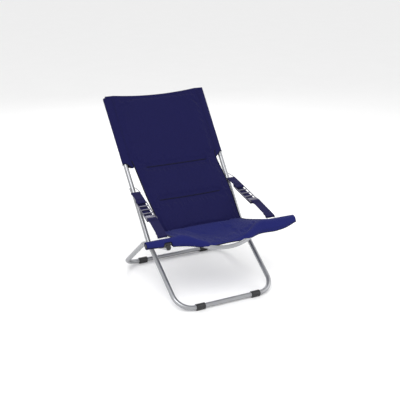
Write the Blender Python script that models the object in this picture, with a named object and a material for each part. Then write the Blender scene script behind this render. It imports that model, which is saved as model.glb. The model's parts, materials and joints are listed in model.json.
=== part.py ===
"""Folding beach chair: two bent steel tube frames crossing at a rivet, a fabric sling and two strap arms.

Metres, +Z up. The sitter faces -Y. The origin is on the floor, midway between the frontmost and
rearmost points, in the plane of symmetry. Run with blender --background --python part.py.
"""

import math

import bmesh
import bpy
from mathutils import Matrix, Vector

# Tubes
TUBE_D = 0.022
TUBE_WALL = 0.0012
BOW_D = 0.018
BOW_WALL = 0.0012
TUBE_SIDES = 12
BEND_STEP = math.radians(11.5)
WIRE_STEP = math.radians(26.0)

# Stance: where the two frames cross and where they meet the floor
PIVOT_Y = -0.0747
PIVOT_HEIGHT = 0.2235
FRONT_REACH = 0.318
REAR_REACH = 0.270
KINK_RADIUS = 0.090

# Back frame: floor bar in front, backrest tubes behind
BACK_ANGLE = math.radians(50.8)
BACK_LENGTH = 0.761
BACK_HALF_AT_PIVOT = 0.250
BACK_SPLAY = 0.012
FRONT_BAR_INSET = 0.005
FRONT_CORNER_RADIUS = 0.080

# Seat frame: floor bar behind, side tubes under the seat
FRAME_GAP = 0.004
SEAT_ANGLE = math.radians(17.0)
SEAT_LENGTH = 0.293
REAR_CORNER_RADIUS = 0.080

# Bow bar across the front of the seat
BOW_STATION = 0.281
BOW_HALF_WIDTH = 0.372
BOW_GAP = 0.003
BOW_DIP = 0.0805
BOW_DIP_ANGLE = math.radians(35.0)
BOW_MID_RADIUS = 0.255
BOW_END_RADIUS = 0.120

# Fasteners and mouldings
CLEARANCE = 0.0003
HOLE_CLEARANCE = 0.0005
RIVET_D = 0.006
RIVET_HEAD_D = 0.012
RIVET_HEAD_H = 0.003
SPACER_D = 0.018
BOW_RIVET_D = 0.005
BOW_HEAD_H = 0.0012
SADDLE_WIDTH = 0.024
SADDLE_LENGTH = 0.021
PLUG_RIM_D = 0.0224
PLUG_RIM_H = 0.0035
PLUG_STEM = 0.0065
FOOT_LENGTH = 0.045
FOOT_WALL = 0.0032
FOOT_PAD_WIDTH = 0.016
FRONT_FOOT_X = 0.142
REAR_FOOT_X = 0.173

# Strap arms
UPPER_STATION = 0.280
LOWER_STATION = 0.257
WIRE_D = 0.004
STIRRUP_REACH = 0.048
STRAP_WIDTH = 0.044
STIRRUP_HALF_WIDTH = STRAP_WIDTH / 2 + 0.0045
STIRRUP_CORNER = 0.0035
STRAP_THICKNESS = 0.0025
STRAP_END = Vector((-0.214, 0.1145))
LOOP_RADIUS = 0.005
SEWN_TAIL = 0.026
LADDER_WIDTH = STRAP_WIDTH + 0.010
LADDER_THICKNESS = 0.0024
LADDER_START = 0.130
LADDER_PITCH = 0.0295
LADDER_BARS = 5
BAR_WIDTH = 0.0065
RAIL_WIDTH = 0.0042
HOOK_THICKNESS = 0.002
HOOK_LENGTH = 0.024
HOOK_LIFT = 0.0046
HOOK_BEND = 0.0022
HOOK_BAR = 0.006
HOOK_CLEARANCE = 0.0022
HOOK_SIDE_GAP = 0.0010

# Sling
FABRIC = 0.005
FABRIC_GAP = 0.0008
FOLD_Y = -0.060
FOLD_Z = 0.066
FOLD_DROP = 0.0041
FOLD_HALF_WIDTH = 0.206
WAIST_HALF_WIDTH = 0.219
SLEEVE_START = 0.372
SLEEVE_NOTCH = 0.030
BACK_SAG = 0.012
SEAT_SAG = 0.010
HEM_MID_CLEARANCE = 0.005
BOW_SLOPE_FACTOR = 1.12
SEAT_SHAPE = 1.15
EAR_FILLET = 0.008
NECK_HALF_WIDTH = 0.238

STEEL = ("tube_steel", (0.56, 0.57, 0.60), 1.0, 0.32)
BRIGHT = ("bright_steel", (0.72, 0.73, 0.76), 1.0, 0.22)
BLACK = ("black_plastic", (0.012, 0.012, 0.013), 0.0, 0.45)
NAVY = ("navy_fabric", (0.014, 0.016, 0.10), 0.0, 0.85)
WEBBING = ("navy_webbing", (0.016, 0.014, 0.11), 0.0, 0.80)

TUBE_R = TUBE_D / 2
BOW_R = BOW_D / 2
WIRE_R = WIRE_D / 2
FLOOR_TO_BAR = TUBE_R + CLEARANCE + FOOT_WALL
SEAT_HALF = BACK_HALF_AT_PIVOT + TUBE_D + FRAME_GAP
PIVOT = Vector((0.0, PIVOT_Y, PIVOT_HEIGHT))
BACK_DIRECTION = Vector((0.0, math.cos(BACK_ANGLE), math.sin(BACK_ANGLE)))
BACK_FRONT = Vector((0.0, -math.sin(BACK_ANGLE), math.cos(BACK_ANGLE)))
SEAT_DIRECTION = Vector((0.0, -math.cos(SEAT_ANGLE), math.sin(SEAT_ANGLE)))
SEAT_UP = Vector((0.0, math.sin(SEAT_ANGLE), math.cos(SEAT_ANGLE)))
BOW_LEVEL = TUBE_R + BOW_GAP + BOW_R
SIDES = {"left": -1, "right": 1}


def clear_scene():
    for obj in list(bpy.data.objects):
        bpy.data.objects.remove(obj, do_unlink=True)


def material(finish):
    name, colour, metallic, roughness = finish
    found = bpy.data.materials.get(name)
    if found:
        return found
    made = bpy.data.materials.new(name)
    made.use_nodes = True
    shader = made.node_tree.nodes["Principled BSDF"]
    shader.inputs["Base Color"].default_value = (*colour, 1.0)
    shader.inputs["Metallic"].default_value = metallic
    shader.inputs["Roughness"].default_value = roughness
    return made


def link(name, mesh, finish, smooth=True):
    """An object of this mesh, shaded smooth except at sharp edges."""
    obj = bpy.data.objects.new(name, mesh)
    bpy.context.scene.collection.objects.link(obj)
    mesh.materials.clear()
    mesh.materials.append(material(finish))
    if smooth:
        mesh.shade_smooth()
        mesh.set_sharp_from_angle(angle=math.radians(35))
    return obj


def hinge_empty(name, place):
    empty = bpy.data.objects.new(name, None)
    empty.empty_display_size = 0.03
    empty.location = place
    bpy.context.scene.collection.objects.link(empty)
    return empty


def hang(obj, empty):
    """Parents an object to a joint's empty and leaves it where it stands."""
    obj.parent = empty
    obj.matrix_parent_inverse = Matrix.Translation(-empty.location)
    return obj


def mesh_from(bm, name):
    bmesh.ops.remove_doubles(bm, verts=bm.verts, dist=1e-6)
    bmesh.ops.recalc_face_normals(bm, faces=bm.faces)
    mesh = bpy.data.meshes.new(name)
    bm.to_mesh(mesh)
    bm.free()
    return mesh


def rounded_path(corners, radii, bend_step=BEND_STEP):
    """Points along straight runs joined by arcs; radii hold one value for each inner corner."""
    points = [corners[0]]
    for before, corner, after, radius in zip(corners, corners[1:], corners[2:], radii):
        back = (before - corner).normalized()
        ahead = (after - corner).normalized()
        half = back.angle(ahead) / 2
        centre = corner + (back + ahead).normalized() * radius / math.sin(half)
        start = corner + back * radius / math.tan(half) - centre
        turn = math.pi - 2 * half
        axis = back.cross(ahead).normalized()
        steps = max(2, math.ceil(turn / bend_step))
        for step in range(steps + 1):
            points.append(centre + Matrix.Rotation(-turn * step / steps, 3, axis) @ start)
    points.append(corners[-1])
    return points


def swept_mesh(name, points, diameter, sides, cyclic=False, caps=False):
    """A round section carried along a path by a bevelled curve, as a mesh."""
    curve = bpy.data.curves.new(name, "CURVE")
    curve.dimensions = "3D"
    curve.bevel_depth = diameter / 2
    curve.bevel_resolution = (sides - 4) // 2
    curve.use_fill_caps = caps
    spline = curve.splines.new("POLY")
    spline.points.add(len(points) - 1)
    for target, point in zip(spline.points, points):
        target.co = (*point, 1.0)
    spline.use_cyclic_u = cyclic
    guide = bpy.data.objects.new(name, curve)
    bpy.context.scene.collection.objects.link(guide)
    graph = bpy.context.evaluated_depsgraph_get()
    graph.update()
    mesh = bpy.data.meshes.new_from_object(guide.evaluated_get(graph))
    bpy.data.objects.remove(guide, do_unlink=True)
    bm = bmesh.new()
    bm.from_mesh(mesh)
    return mesh_from(bm, name)


def hollow_tube(name, points, diameter, wall, finish):
    """A bent tube with open ends: the outer skin of a swept circle, thickened inwards."""
    obj = link(name, swept_mesh(name, points, diameter, TUBE_SIDES), finish)
    shell = obj.modifiers.new("wall", "SOLIDIFY")
    shell.thickness = wall
    shell.offset = -1.0
    shell.use_even_offset = True
    return obj


def turned_mesh(name, profile, segments=18, ring=False):
    """Turns (radius, height) points round Z; a ring's profile closes on itself, off the axis."""
    bm = bmesh.new()
    loops = []
    for radius, height in profile:
        if radius < 1e-6:
            loops.append([bm.verts.new((0.0, 0.0, height))])
            continue
        angles = [2 * math.pi * i / segments for i in range(segments)]
        loops.append([bm.verts.new((radius * math.cos(a), radius * math.sin(a), height)) for a in angles])
    pairs = list(zip(loops, loops[1:]))
    if ring:
        pairs.append((loops[-1], loops[0]))
    for lower, upper in pairs:
        for i in range(segments):
            corners = [lower[i % len(lower)], lower[(i + 1) % segments % len(lower)]]
            corners += [upper[(i + 1) % segments % len(upper)], upper[i % len(upper)]]
            bm.faces.new(list(dict.fromkeys(corners)))
    return mesh_from(bm, name)


def prism_mesh(name, outline, low, high):
    """Extrudes a closed outline of (second, third) coordinates along the first axis."""
    bm = bmesh.new()
    ends = []
    for along in (low, high):
        ends.append([bm.verts.new((along, a, b)) for a, b in outline])
    bm.faces.new(ends[0])
    bm.faces.new(list(reversed(ends[1])))
    count = len(outline)
    for i in range(count):
        j = (i + 1) % count
        bm.faces.new((ends[0][i], ends[0][j], ends[1][j], ends[1][i]))
    return mesh_from(bm, name)


def ribbon_outline(path, thickness):
    """The outline of a strip of this thickness centred on a 2-D path."""
    left, right = [], []
    for i, point in enumerate(path):
        before = path[max(i - 1, 0)]
        after = path[min(i + 1, len(path) - 1)]
        tangent = (after - before).normalized()
        normal = Vector((-tangent.y, tangent.x)) * thickness / 2
        left.append(point + normal)
        right.append(point - normal)
    return left + right[::-1]


def cut(obj, cutter):
    """Cuts one helper out of an object with a live Boolean."""
    cutter.hide_render = True
    cutter.display_type = "WIRE"
    cutter.name = "cutter_" + obj.name
    boolean = obj.modifiers.new("cut", "BOOLEAN")
    boolean.operation = "DIFFERENCE"
    boolean.solver = "EXACT"
    boolean.object = cutter


def rod_cutter(centre, direction, diameter, length):
    sides = 18
    radius = diameter / 2 / math.cos(math.pi / sides)
    profile = [(0, -length / 2), (radius, -length / 2), (radius, length / 2), (0, length / 2)]
    rod = link("cutter", turned_mesh("cutter", profile, sides), BLACK, smooth=False)
    rod.data.transform(Vector((0, 0, 1)).rotation_difference(direction).to_matrix().to_4x4())
    rod.location = centre
    return rod


def frame_of(first, second, third, origin):
    """The matrix that takes local axes to these world directions at this origin."""
    rows = [[first[i], second[i], third[i], origin[i]] for i in range(3)]
    return Matrix(rows + [[0, 0, 0, 1]])


def placed(mesh, frame):
    """Moves a mesh into a frame and turns its faces out again where the frame is mirrored."""
    mesh.transform(frame)
    if frame.determinant() < 0:
        mesh.flip_normals()
    return mesh


def back_point(distance, side):
    """A point on the centre line of a backrest tube, this far up from the pivot."""
    across = BACK_HALF_AT_PIVOT + BACK_SPLAY * distance / BACK_LENGTH
    return PIVOT + BACK_DIRECTION * distance + Vector((side * across, 0, 0))


def seat_point(distance, side):
    """A point on the centre line of a seat side tube, this far forward from the pivot."""
    return PIVOT + SEAT_DIRECTION * distance + Vector((side * SEAT_HALF, 0, 0))


def kink_corner(side_x, arm, bar_y):
    """The path corner whose rounded bend passes through the pivot."""
    leg = Vector((0.0, bar_y - PIVOT_Y, FLOOR_TO_BAR - PIVOT_HEIGHT)).normalized()
    inward = (arm + leg).normalized()
    half = arm.angle(leg) / 2
    return PIVOT + Vector((side_x, 0, 0)) - inward * KINK_RADIUS * (1 / math.sin(half) - 1)


def frame_path(arm_end, kink, corner_x, bar_y, corner_radius):
    """The whole bent tube, from one free end across the floor bar to the other free end."""
    corner = Vector((corner_x, bar_y, FLOOR_TO_BAR))
    right = [arm_end, kink, corner]
    left = [Vector((-p.x, p.y, p.z)) for p in reversed(right)]
    return rounded_path(right + left, [KINK_RADIUS, corner_radius, corner_radius, KINK_RADIUS])


def make_back_frame():
    bar_y = PIVOT_Y - FRONT_REACH
    kink = kink_corner(BACK_HALF_AT_PIVOT, BACK_DIRECTION, bar_y)
    corner_x = BACK_HALF_AT_PIVOT - FRONT_BAR_INSET
    path = frame_path(back_point(BACK_LENGTH, 1), kink, corner_x, bar_y, FRONT_CORNER_RADIUS)
    frame = hollow_tube("back_frame", path, TUBE_D, TUBE_WALL, STEEL)
    for side in SIDES.values():
        across = Vector((1, 0, 0))
        pivot_hole = PIVOT + across * side * BACK_HALF_AT_PIVOT
        cut(frame, rod_cutter(pivot_hole, across, RIVET_D + 2 * HOLE_CLEARANCE, TUBE_D * 1.3))
        cut(frame, rod_cutter(back_point(UPPER_STATION, side), across, WIRE_D + 2 * HOLE_CLEARANCE, TUBE_D * 1.3))


def make_seat_frame(hinge):
    bar_y = PIVOT_Y + REAR_REACH
    kink = kink_corner(SEAT_HALF, SEAT_DIRECTION, bar_y)
    path = frame_path(seat_point(SEAT_LENGTH, 1), kink, SEAT_HALF, bar_y, REAR_CORNER_RADIUS)
    frame = hang(hollow_tube("seat_frame", path, TUBE_D, TUBE_WALL, STEEL), hinge)
    for side in SIDES.values():
        across = Vector((1, 0, 0))
        for place, diameter, direction in (
            (PIVOT + across * side * SEAT_HALF, RIVET_D, across),
            (seat_point(LOWER_STATION, side), WIRE_D, across),
            (seat_point(BOW_STATION, side), BOW_RIVET_D, SEAT_UP),
        ):
            tool = rod_cutter(place, direction, diameter + 2 * HOLE_CLEARANCE, TUBE_D * 1.3)
            cut(frame, hang(tool, hinge))


def bow_centre(across):
    """A point on the bow: straight horns, then an S of two arcs down to the middle."""
    reach = BOW_MID_RADIUS + BOW_END_RADIUS
    turn = math.acos(1 - BOW_DIP / reach)
    x = abs(across)
    if x >= reach * math.sin(turn):
        drop = 0.0
    elif x > BOW_MID_RADIUS * math.sin(turn):
        drop = BOW_END_RADIUS - math.sqrt(BOW_END_RADIUS**2 - (reach * math.sin(turn) - x) ** 2)
    else:
        drop = BOW_DIP - BOW_MID_RADIUS + math.sqrt(BOW_MID_RADIUS**2 - x**2)
    down = Vector((0, -math.cos(BOW_DIP_ANGLE), -math.sin(BOW_DIP_ANGLE)))
    start = PIVOT + SEAT_DIRECTION * BOW_STATION + SEAT_UP * BOW_LEVEL
    return start + down * drop + Vector((across, 0, 0))


def make_bow(hinge):
    steps = 24
    reach = BOW_MID_RADIUS + BOW_END_RADIUS
    curve_half = reach * math.sin(math.acos(1 - BOW_DIP / reach))
    points = [bow_centre(-BOW_HALF_WIDTH)]
    points += [bow_centre(curve_half * (2 * i / steps - 1)) for i in range(steps + 1)]
    points.append(bow_centre(BOW_HALF_WIDTH))
    bow = hang(hollow_tube("bow_bar", points, BOW_D, BOW_WALL, STEEL), hinge)
    for side in SIDES.values():
        place = bow_centre(side * SEAT_HALF)
        tool = rod_cutter(place, SEAT_UP, BOW_RIVET_D + 2 * HOLE_CLEARANCE, BOW_D * 1.3)
        cut(bow, hang(tool, hinge))


def rivet_mesh(name, shank_d, half_grip, height):
    """A solid rivet: a shank with a domed head at each end."""
    shank, head = shank_d / 2, RIVET_HEAD_D / 2 * shank_d / RIVET_D
    top = half_grip + CLEARANCE
    dome = [
        (head * math.cos(a), top + height * (0.35 + 0.65 * math.sin(a)))
        for a in (0, math.pi / 6, math.pi / 3)
    ]
    upper = [(shank, top), (head, top), *dome, (0, top + height)]
    lower = [(r, -z) for r, z in reversed(upper)]
    return turned_mesh(name, lower + upper)


def make_pivots(hinge):
    """A rivet through both frames on each side, with a nylon spacer between the tubes."""
    turn = Matrix.Rotation(math.pi / 2, 4, "Y")
    for label, side in SIDES.items():
        inner = BACK_HALF_AT_PIVOT - TUBE_R
        outer = SEAT_HALF + TUBE_R
        mesh = rivet_mesh("pivot_rivet_" + label, RIVET_D, (outer - inner) / 2, RIVET_HEAD_H)
        mesh.transform(turn)
        rivet = link("pivot_rivet_" + label, mesh, BRIGHT)
        rivet.location = PIVOT + Vector((side * (inner + outer) / 2, 0, 0))
        half = FRAME_GAP / 2 - CLEARANCE
        bore = RIVET_D / 2 + HOLE_CLEARANCE
        profile = [(bore, -half), (SPACER_D / 2, -half), (SPACER_D / 2, half), (bore, half)]
        ring = turned_mesh("pivot_spacer_" + label, profile, ring=True)
        ring.transform(turn)
        spacer = link("pivot_spacer_" + label, ring, BLACK)
        spacer.location = PIVOT + Vector((side * (BACK_HALF_AT_PIVOT + TUBE_R + FRAME_GAP / 2), 0, 0))


def make_bow_joints(hinge):
    """A black saddle between each side tube and the bow, and the rivet through all three."""
    for label, side in SIDES.items():
        seat = seat_point(BOW_STATION, side)
        frame = frame_of(Vector((1, 0, 0)), SEAT_DIRECTION, SEAT_UP, seat)
        half_x, half_y = SADDLE_WIDTH / 2, SADDLE_LENGTH / 2
        outline = [(-half_y, 0.002), (half_y, 0.002), (half_y, BOW_LEVEL - 0.001), (-half_y, BOW_LEVEL - 0.001)]
        mesh = prism_mesh("bow_saddle_" + label, outline, -half_x, half_x)
        saddle = hang(link("bow_saddle_" + label, placed(mesh, frame), BLACK, smooth=False), hinge)
        along_bow = Vector((1, 0, 0))
        for place, direction, diameter in (
            (seat, SEAT_DIRECTION, TUBE_D),
            (seat + SEAT_UP * BOW_LEVEL, along_bow, BOW_D),
            (seat + SEAT_UP * BOW_LEVEL / 2, SEAT_UP, BOW_RIVET_D),
        ):
            gap = HOLE_CLEARANCE if diameter == BOW_RIVET_D else CLEARANCE
            cut(saddle, hang(rod_cutter(place, direction, diameter + 2 * gap, 0.08), hinge))
        low, high = -TUBE_R, BOW_LEVEL + BOW_R
        pin = rivet_mesh("bow_rivet_" + label, BOW_RIVET_D, (high - low) / 2, BOW_HEAD_H)
        placed(pin, frame_of(Vector((1, 0, 0)), SEAT_DIRECTION, SEAT_UP, seat + SEAT_UP * (low + high) / 2))
        hang(link("bow_rivet_" + label, pin, BRIGHT), hinge)


def plug_mesh(name, tube_d, wall):
    """A tube plug: a stem that fits the bore and a rim that covers the cut end, turned round Z."""
    stem = tube_d / 2 * math.cos(math.pi / TUBE_SIDES) - wall - CLEARANCE
    rim = tube_d / 2 + (PLUG_RIM_D - TUBE_D) / 2
    profile = [(0, -PLUG_STEM), (stem * 0.9, -PLUG_STEM), (stem, -PLUG_STEM * 0.8), (stem, CLEARANCE)]
    profile += [(rim, CLEARANCE), (rim, PLUG_RIM_H * 0.6), (rim * 0.8, PLUG_RIM_H), (0, PLUG_RIM_H)]
    return turned_mesh(name, profile)


def make_plugs(hinge):
    aim = Vector((0, 0, 1))
    for label, side in SIDES.items():
        for stem, place, direction, diameter, wall, moving in (
            ("back_plug_", back_point(BACK_LENGTH, side), None, TUBE_D, TUBE_WALL, False),
            ("seat_plug_", seat_point(SEAT_LENGTH, side), SEAT_DIRECTION, TUBE_D, TUBE_WALL, True),
            ("horn_plug_", bow_centre(side * BOW_HALF_WIDTH), Vector((side, 0, 0)), BOW_D, BOW_WALL, True),
        ):
            direction = direction or (place - back_point(0, side)).normalized()
            mesh = plug_mesh(stem + label, diameter, wall)
            mesh.transform(aim.rotation_difference(direction).to_matrix().to_4x4())
            mesh.transform(Matrix.Translation(place))
            plug = link(stem + label, mesh, BLACK)
            if moving:
                hang(plug, hinge)


def foot_mesh(name):
    """A sleeve round a floor bar with a flat pad underneath, centred on the bar, along X."""
    outer = TUBE_R + CLEARANCE + FOOT_WALL
    bore = TUBE_R + CLEARANCE
    count = 24
    pad_half = math.asin(FOOT_PAD_WIDTH / 2 / outer)
    bm = bmesh.new()
    rings = []
    for along, grow in ((-0.5, -0.0012), (-0.46, 0.0), (0.46, 0.0), (0.5, -0.0012)):
        outside, inside = [], []
        for i in range(count):
            angle = -math.pi / 2 + 2 * math.pi * i / count
            from_down = abs(math.atan2(math.sin(angle + math.pi / 2), math.cos(angle + math.pi / 2)))
            radius = outer + grow
            y, z = radius * math.cos(angle), radius * math.sin(angle)
            if from_down < pad_half + 1e-6:
                z = -outer
            outside.append(bm.verts.new((along * FOOT_LENGTH, y, z)))
            inside.append(bm.verts.new((along * FOOT_LENGTH, bore * math.cos(angle), bore * math.sin(angle))))
        rings.append((outside, inside))
    for i in range(count):
        j = (i + 1) % count
        for (outer_a, inner_a), (outer_b, inner_b) in zip(rings, rings[1:]):
            bm.faces.new((outer_a[i], outer_a[j], outer_b[j], outer_b[i]))
            bm.faces.new((inner_a[j], inner_a[i], inner_b[i], inner_b[j]))
        for outside, inside in (rings[0], rings[-1]):
            bm.faces.new((outside[i], outside[j], inside[j], inside[i]))
    return mesh_from(bm, name)


def make_feet(hinge):
    for label, side in SIDES.items():
        front = link("front_foot_" + label, foot_mesh("front_foot_" + label), BLACK)
        front.location = (side * FRONT_FOOT_X, PIVOT_Y - FRONT_REACH, FLOOR_TO_BAR)
        mesh = foot_mesh("rear_foot_" + label)
        mesh.transform(Matrix.Translation((side * REAR_FOOT_X, PIVOT_Y + REAR_REACH, FLOOR_TO_BAR)))
        hang(link("rear_foot_" + label, mesh, BLACK), hinge)


def strap_frame(side):
    """Local (x, along, outward) axes of a strap arm, which drifts outwards as it comes forward."""
    upper = back_point(UPPER_STATION, side)
    lower = PIVOT + Vector((side * SEAT_HALF, *STRAP_END))
    run = Vector((0, lower.y - upper.y, lower.z - upper.z))
    along = run.normalized()
    outward = Vector((0, along.z, -along.y))
    drift = Vector((lower.x - upper.x, 0, 0)) / run.length
    return frame_of(Vector((1, 0, 0)), along + drift, outward, upper), run.length


def stirrup_mesh(name, reach):
    """A closed wire loop: a pin at the origin along X, flaring to a wider bar at this reach."""
    pin_half = TUBE_R + WIRE_R + 0.0015
    corners = [Vector((pin_half, 0, 0)), Vector((STIRRUP_HALF_WIDTH, reach, 0))]
    corners += [Vector((-p.x, p.y, 0)) for p in reversed(corners)]
    start = Vector((0, 0, 0))
    path = rounded_path([start, *corners, start], [WIRE_D, STIRRUP_CORNER, STIRRUP_CORNER, WIRE_D], WIRE_STEP)
    return swept_mesh(name, path[:-1], WIRE_D, 8, cyclic=True)


def loop_end(bar, heading, tail):
    """A strap end: in along the outward face, round the bar, and back as a sewn tail."""
    top = bar + Vector((0, LOOP_RADIUS))
    arc = []
    for step in range(7):
        angle = math.pi * step / 6
        arc.append(bar + LOOP_RADIUS * Vector((heading * math.sin(angle), math.cos(angle))))
    under = top.y - STRAP_THICKNESS - CLEARANCE * 1.5
    knee = Vector((bar.x - heading * (LOOP_RADIUS + 0.006), under))
    return arc + [knee, Vector((bar.x - heading * tail, under))]


def strap_mesh(name, low_bar, high_bar):
    """Webbing folded round a bar at each end and sewn back on itself."""
    start = loop_end(low_bar, -1, SEWN_TAIL)[::-1]
    end = loop_end(high_bar, 1, SEWN_TAIL)
    half = STRAP_WIDTH / 2
    return prism_mesh(name, ribbon_outline(start + end, STRAP_THICKNESS), -half, half)


def slotted_strip(name, layers, halves, windows):
    """A metal strip between two 2-D lines, with open windows between its rails in the listed rows."""
    rows = len(layers[0])
    bm = bmesh.new()
    grid = {}
    for j, half in enumerate(halves):
        for i, x in enumerate((-half, RAIL_WIDTH - half, half - RAIL_WIDTH, half)):
            for k in (0, 1):
                grid[i, j, k] = bm.verts.new((x, *layers[k][j]))

    def solid(i, j):
        return 0 <= i < 3 and 0 <= j < rows - 1 and not (i == 1 and j in windows)

    for i in range(3):
        for j in range(rows - 1):
            if not solid(i, j):
                continue
            for k in (0, 1):
                bm.faces.new([grid[a, b, k] for a, b in ((i, j), (i + 1, j), (i + 1, j + 1), (i, j + 1))])
            for di, dj, ends in (
                (-1, 0, ((i, j), (i, j + 1))),
                (1, 0, ((i + 1, j), (i + 1, j + 1))),
                (0, -1, ((i, j), (i + 1, j))),
                (0, 1, ((i, j + 1), (i + 1, j + 1))),
            ):
                if not solid(i + di, j + dj):
                    (a, b), (c, d) = ends
                    bm.faces.new([grid[a, b, 0], grid[c, d, 0], grid[c, d, 1], grid[a, b, 1]])
    return mesh_from(bm, name)


def ladder_mesh(name):
    """Flat bars between two rails, the first one held by the strap's loop."""
    half = LADDER_THICKNESS / 2
    edges = []
    for index in range(LADDER_BARS):
        middle = LADDER_START + index * LADDER_PITCH
        edges += [middle - BAR_WIDTH / 2, middle + BAR_WIDTH / 2]
    layers = ([Vector((e, half)) for e in edges], [Vector((e, -half)) for e in edges])
    halves = [LADDER_WIDTH / 2] * len(edges)
    return slotted_strip(name, layers, halves, range(1, 2 * LADDER_BARS - 1, 2))


def hook_mesh(name, catch, bar):
    """A slotted steel plate, its rear bar held by the strap and its front edge bent over a ladder bar."""
    lip = catch - BAR_WIDTH / 2 - HOOK_THICKNESS / 2 - HOOK_CLEARANCE
    window = bar - LOOP_RADIUS - 0.0045
    path = [Vector((lip, -0.003)), Vector((lip, HOOK_LIFT - HOOK_BEND))]
    path += [Vector((lip + HOOK_BEND, HOOK_LIFT)), Vector((window, HOOK_LIFT))]
    path += [Vector((bar - HOOK_BAR / 2, HOOK_LIFT)), Vector((bar + HOOK_BAR / 2, HOOK_LIFT))]
    outline = ribbon_outline(path, HOOK_THICKNESS)
    layers = (outline[: len(path)], outline[: len(path) - 1 : -1])
    narrow = LADDER_WIDTH / 2 - RAIL_WIDTH - HOOK_SIDE_GAP
    wide = STRAP_WIDTH / 2 + HOOK_SIDE_GAP + RAIL_WIDTH
    return slotted_strip(name, layers, [narrow] * 3 + [wide] * 3, (3,))


def make_arms(seat_hinge):
    """On each side: an upper strap with the ladder, and a lower strap with the hook."""
    for label, side in SIDES.items():
        frame, run = strap_frame(side)
        last_bar = LADDER_START + (LADDER_BARS - 1) * LADDER_PITCH
        hook_bar = last_bar + HOOK_LENGTH

        upper = hinge_empty("upper_arm_hinge_" + label, back_point(UPPER_STATION, side))
        lower = hinge_empty("lower_arm_hinge_" + label, seat_point(LOWER_STATION, side))
        bar = PIVOT + Vector((side * SEAT_HALF, *STRAP_END))
        elbow = hinge_empty("lower_strap_hinge_" + label, bar)
        hang(lower, seat_hinge)
        hang(elbow, lower)

        wire = stirrup_mesh("upper_stirrup_" + label, STIRRUP_REACH)
        placed(wire, frame)
        hang(link("upper_stirrup_" + label, wire, BRIGHT), upper)

        strap = strap_mesh("upper_strap_" + label, Vector((STIRRUP_REACH, 0)), Vector((LADDER_START, 0)))
        placed(strap, frame)
        hang(link("upper_strap_" + label, strap, WEBBING), upper)

        ladder = ladder_mesh("ladder_" + label)
        placed(ladder, frame)
        hang(link("ladder_" + label, ladder, BRIGHT, smooth=False), upper)

        pin = seat_point(LOWER_STATION, side)
        reach = (bar - pin).length
        climb = (bar - pin).normalized()
        across = Vector((1, 0, 0))
        wire = stirrup_mesh("lower_stirrup_" + label, reach)
        placed(wire, frame_of(across, climb, across.cross(climb), pin))
        hang(link("lower_stirrup_" + label, wire, BRIGHT), lower)

        strap = strap_mesh("lower_strap_" + label, Vector((hook_bar, HOOK_LIFT)), Vector((run, 0)))
        placed(strap, frame)
        hang(link("lower_strap_" + label, strap, WEBBING), elbow)

        hook = hook_mesh("hook_" + label, last_bar, hook_bar)
        placed(hook, frame)
        hang(link("hook_" + label, hook, BRIGHT, smooth=False), elbow)


def slab_mesh(name, rows, thickness):
    """A closed cloth slab: rows of centre points, each thickened along the sheet's own normal."""
    count = len(rows[0])
    bm = bmesh.new()
    sheets = ([], [])
    for i, row in enumerate(rows):
        layer = ([], [])
        for j, point in enumerate(row):
            ahead = rows[min(i + 1, len(rows) - 1)][j] - rows[max(i - 1, 0)][j]
            beside = row[min(j + 1, count - 1)] - row[max(j - 1, 0)]
            normal = beside.cross(ahead).normalized() * thickness / 2
            layer[0].append(bm.verts.new(point + normal))
            layer[1].append(bm.verts.new(point - normal))
        sheets[0].append(layer[0])
        sheets[1].append(layer[1])
    for sheet in sheets:
        for lower, upper in zip(sheet, sheet[1:]):
            for j in range(count - 1):
                bm.faces.new((lower[j], lower[j + 1], upper[j + 1], upper[j]))
    front, rear = sheets
    border = [(0, j) for j in range(count)]
    border += [(i, count - 1) for i in range(1, len(rows))]
    border += [(len(rows) - 1, j) for j in range(count - 2, -1, -1)]
    border += [(i, 0) for i in range(len(rows) - 2, 0, -1)]
    for (a, b), (c, d) in zip(border, border[1:] + border[:1]):
        bm.faces.new((front[a][b], front[c][d], rear[c][d], rear[a][b]))
    return mesh_from(bm, name)


def smooth_step(value):
    value = min(max(value, 0.0), 1.0)
    return value * value * (3 - 2 * value)


def make_back_sling():
    """From the fold up to the sleeves, narrow between the tubes, then flat over their fronts."""
    lift = TUBE_R + FABRIC_GAP + FABRIC / 2
    sleeve_foot = PIVOT + BACK_DIRECTION * SLEEVE_START + BACK_FRONT * lift
    fold = PIVOT + Vector((0, FOLD_Y, FOLD_Z))
    rows = []
    stations = (0.0, 0.2, 0.4, 0.6, 0.8, 0.93)
    spread = (-1.0, -0.9, -0.65, -0.35, 0.0, 0.35, 0.65, 0.9, 1.0)
    for share in stations:
        half = FOLD_HALF_WIDTH + (WAIST_HALF_WIDTH - FOLD_HALF_WIDTH) * smooth_step(share / 0.6)
        middle = fold.lerp(sleeve_foot, share)
        bow = BACK_SAG * math.sin(math.pi * share)
        rows.append([middle + Vector((half * u, 0, 0)) - BACK_FRONT * bow * (0.4 - u * u) for u in spread])
    top_run = BACK_LENGTH + PLUG_RIM_H - SLEEVE_START
    for along in (0.0, SLEEVE_NOTCH, top_run * 0.4, top_run * 0.7, top_run):
        distance = SLEEVE_START + along
        flare = smooth_step(along / SLEEVE_NOTCH)
        full = back_point(distance, 1).x + TUBE_R + FABRIC / 2
        half = WAIST_HALF_WIDTH + (full - WAIST_HALF_WIDTH) * flare
        middle = PIVOT + BACK_DIRECTION * distance + BACK_FRONT * lift
        hollow = [BACK_SAG * 0.7 * max(1 - (u / 0.9) ** 2, 0) for u in spread]
        rows.append([middle + Vector((half * u, 0, 0)) - BACK_FRONT * sag for u, sag in zip(spread, hollow)])
    link("back_sling", slab_mesh("back_sling", rows, FABRIC), NAVY)


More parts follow.
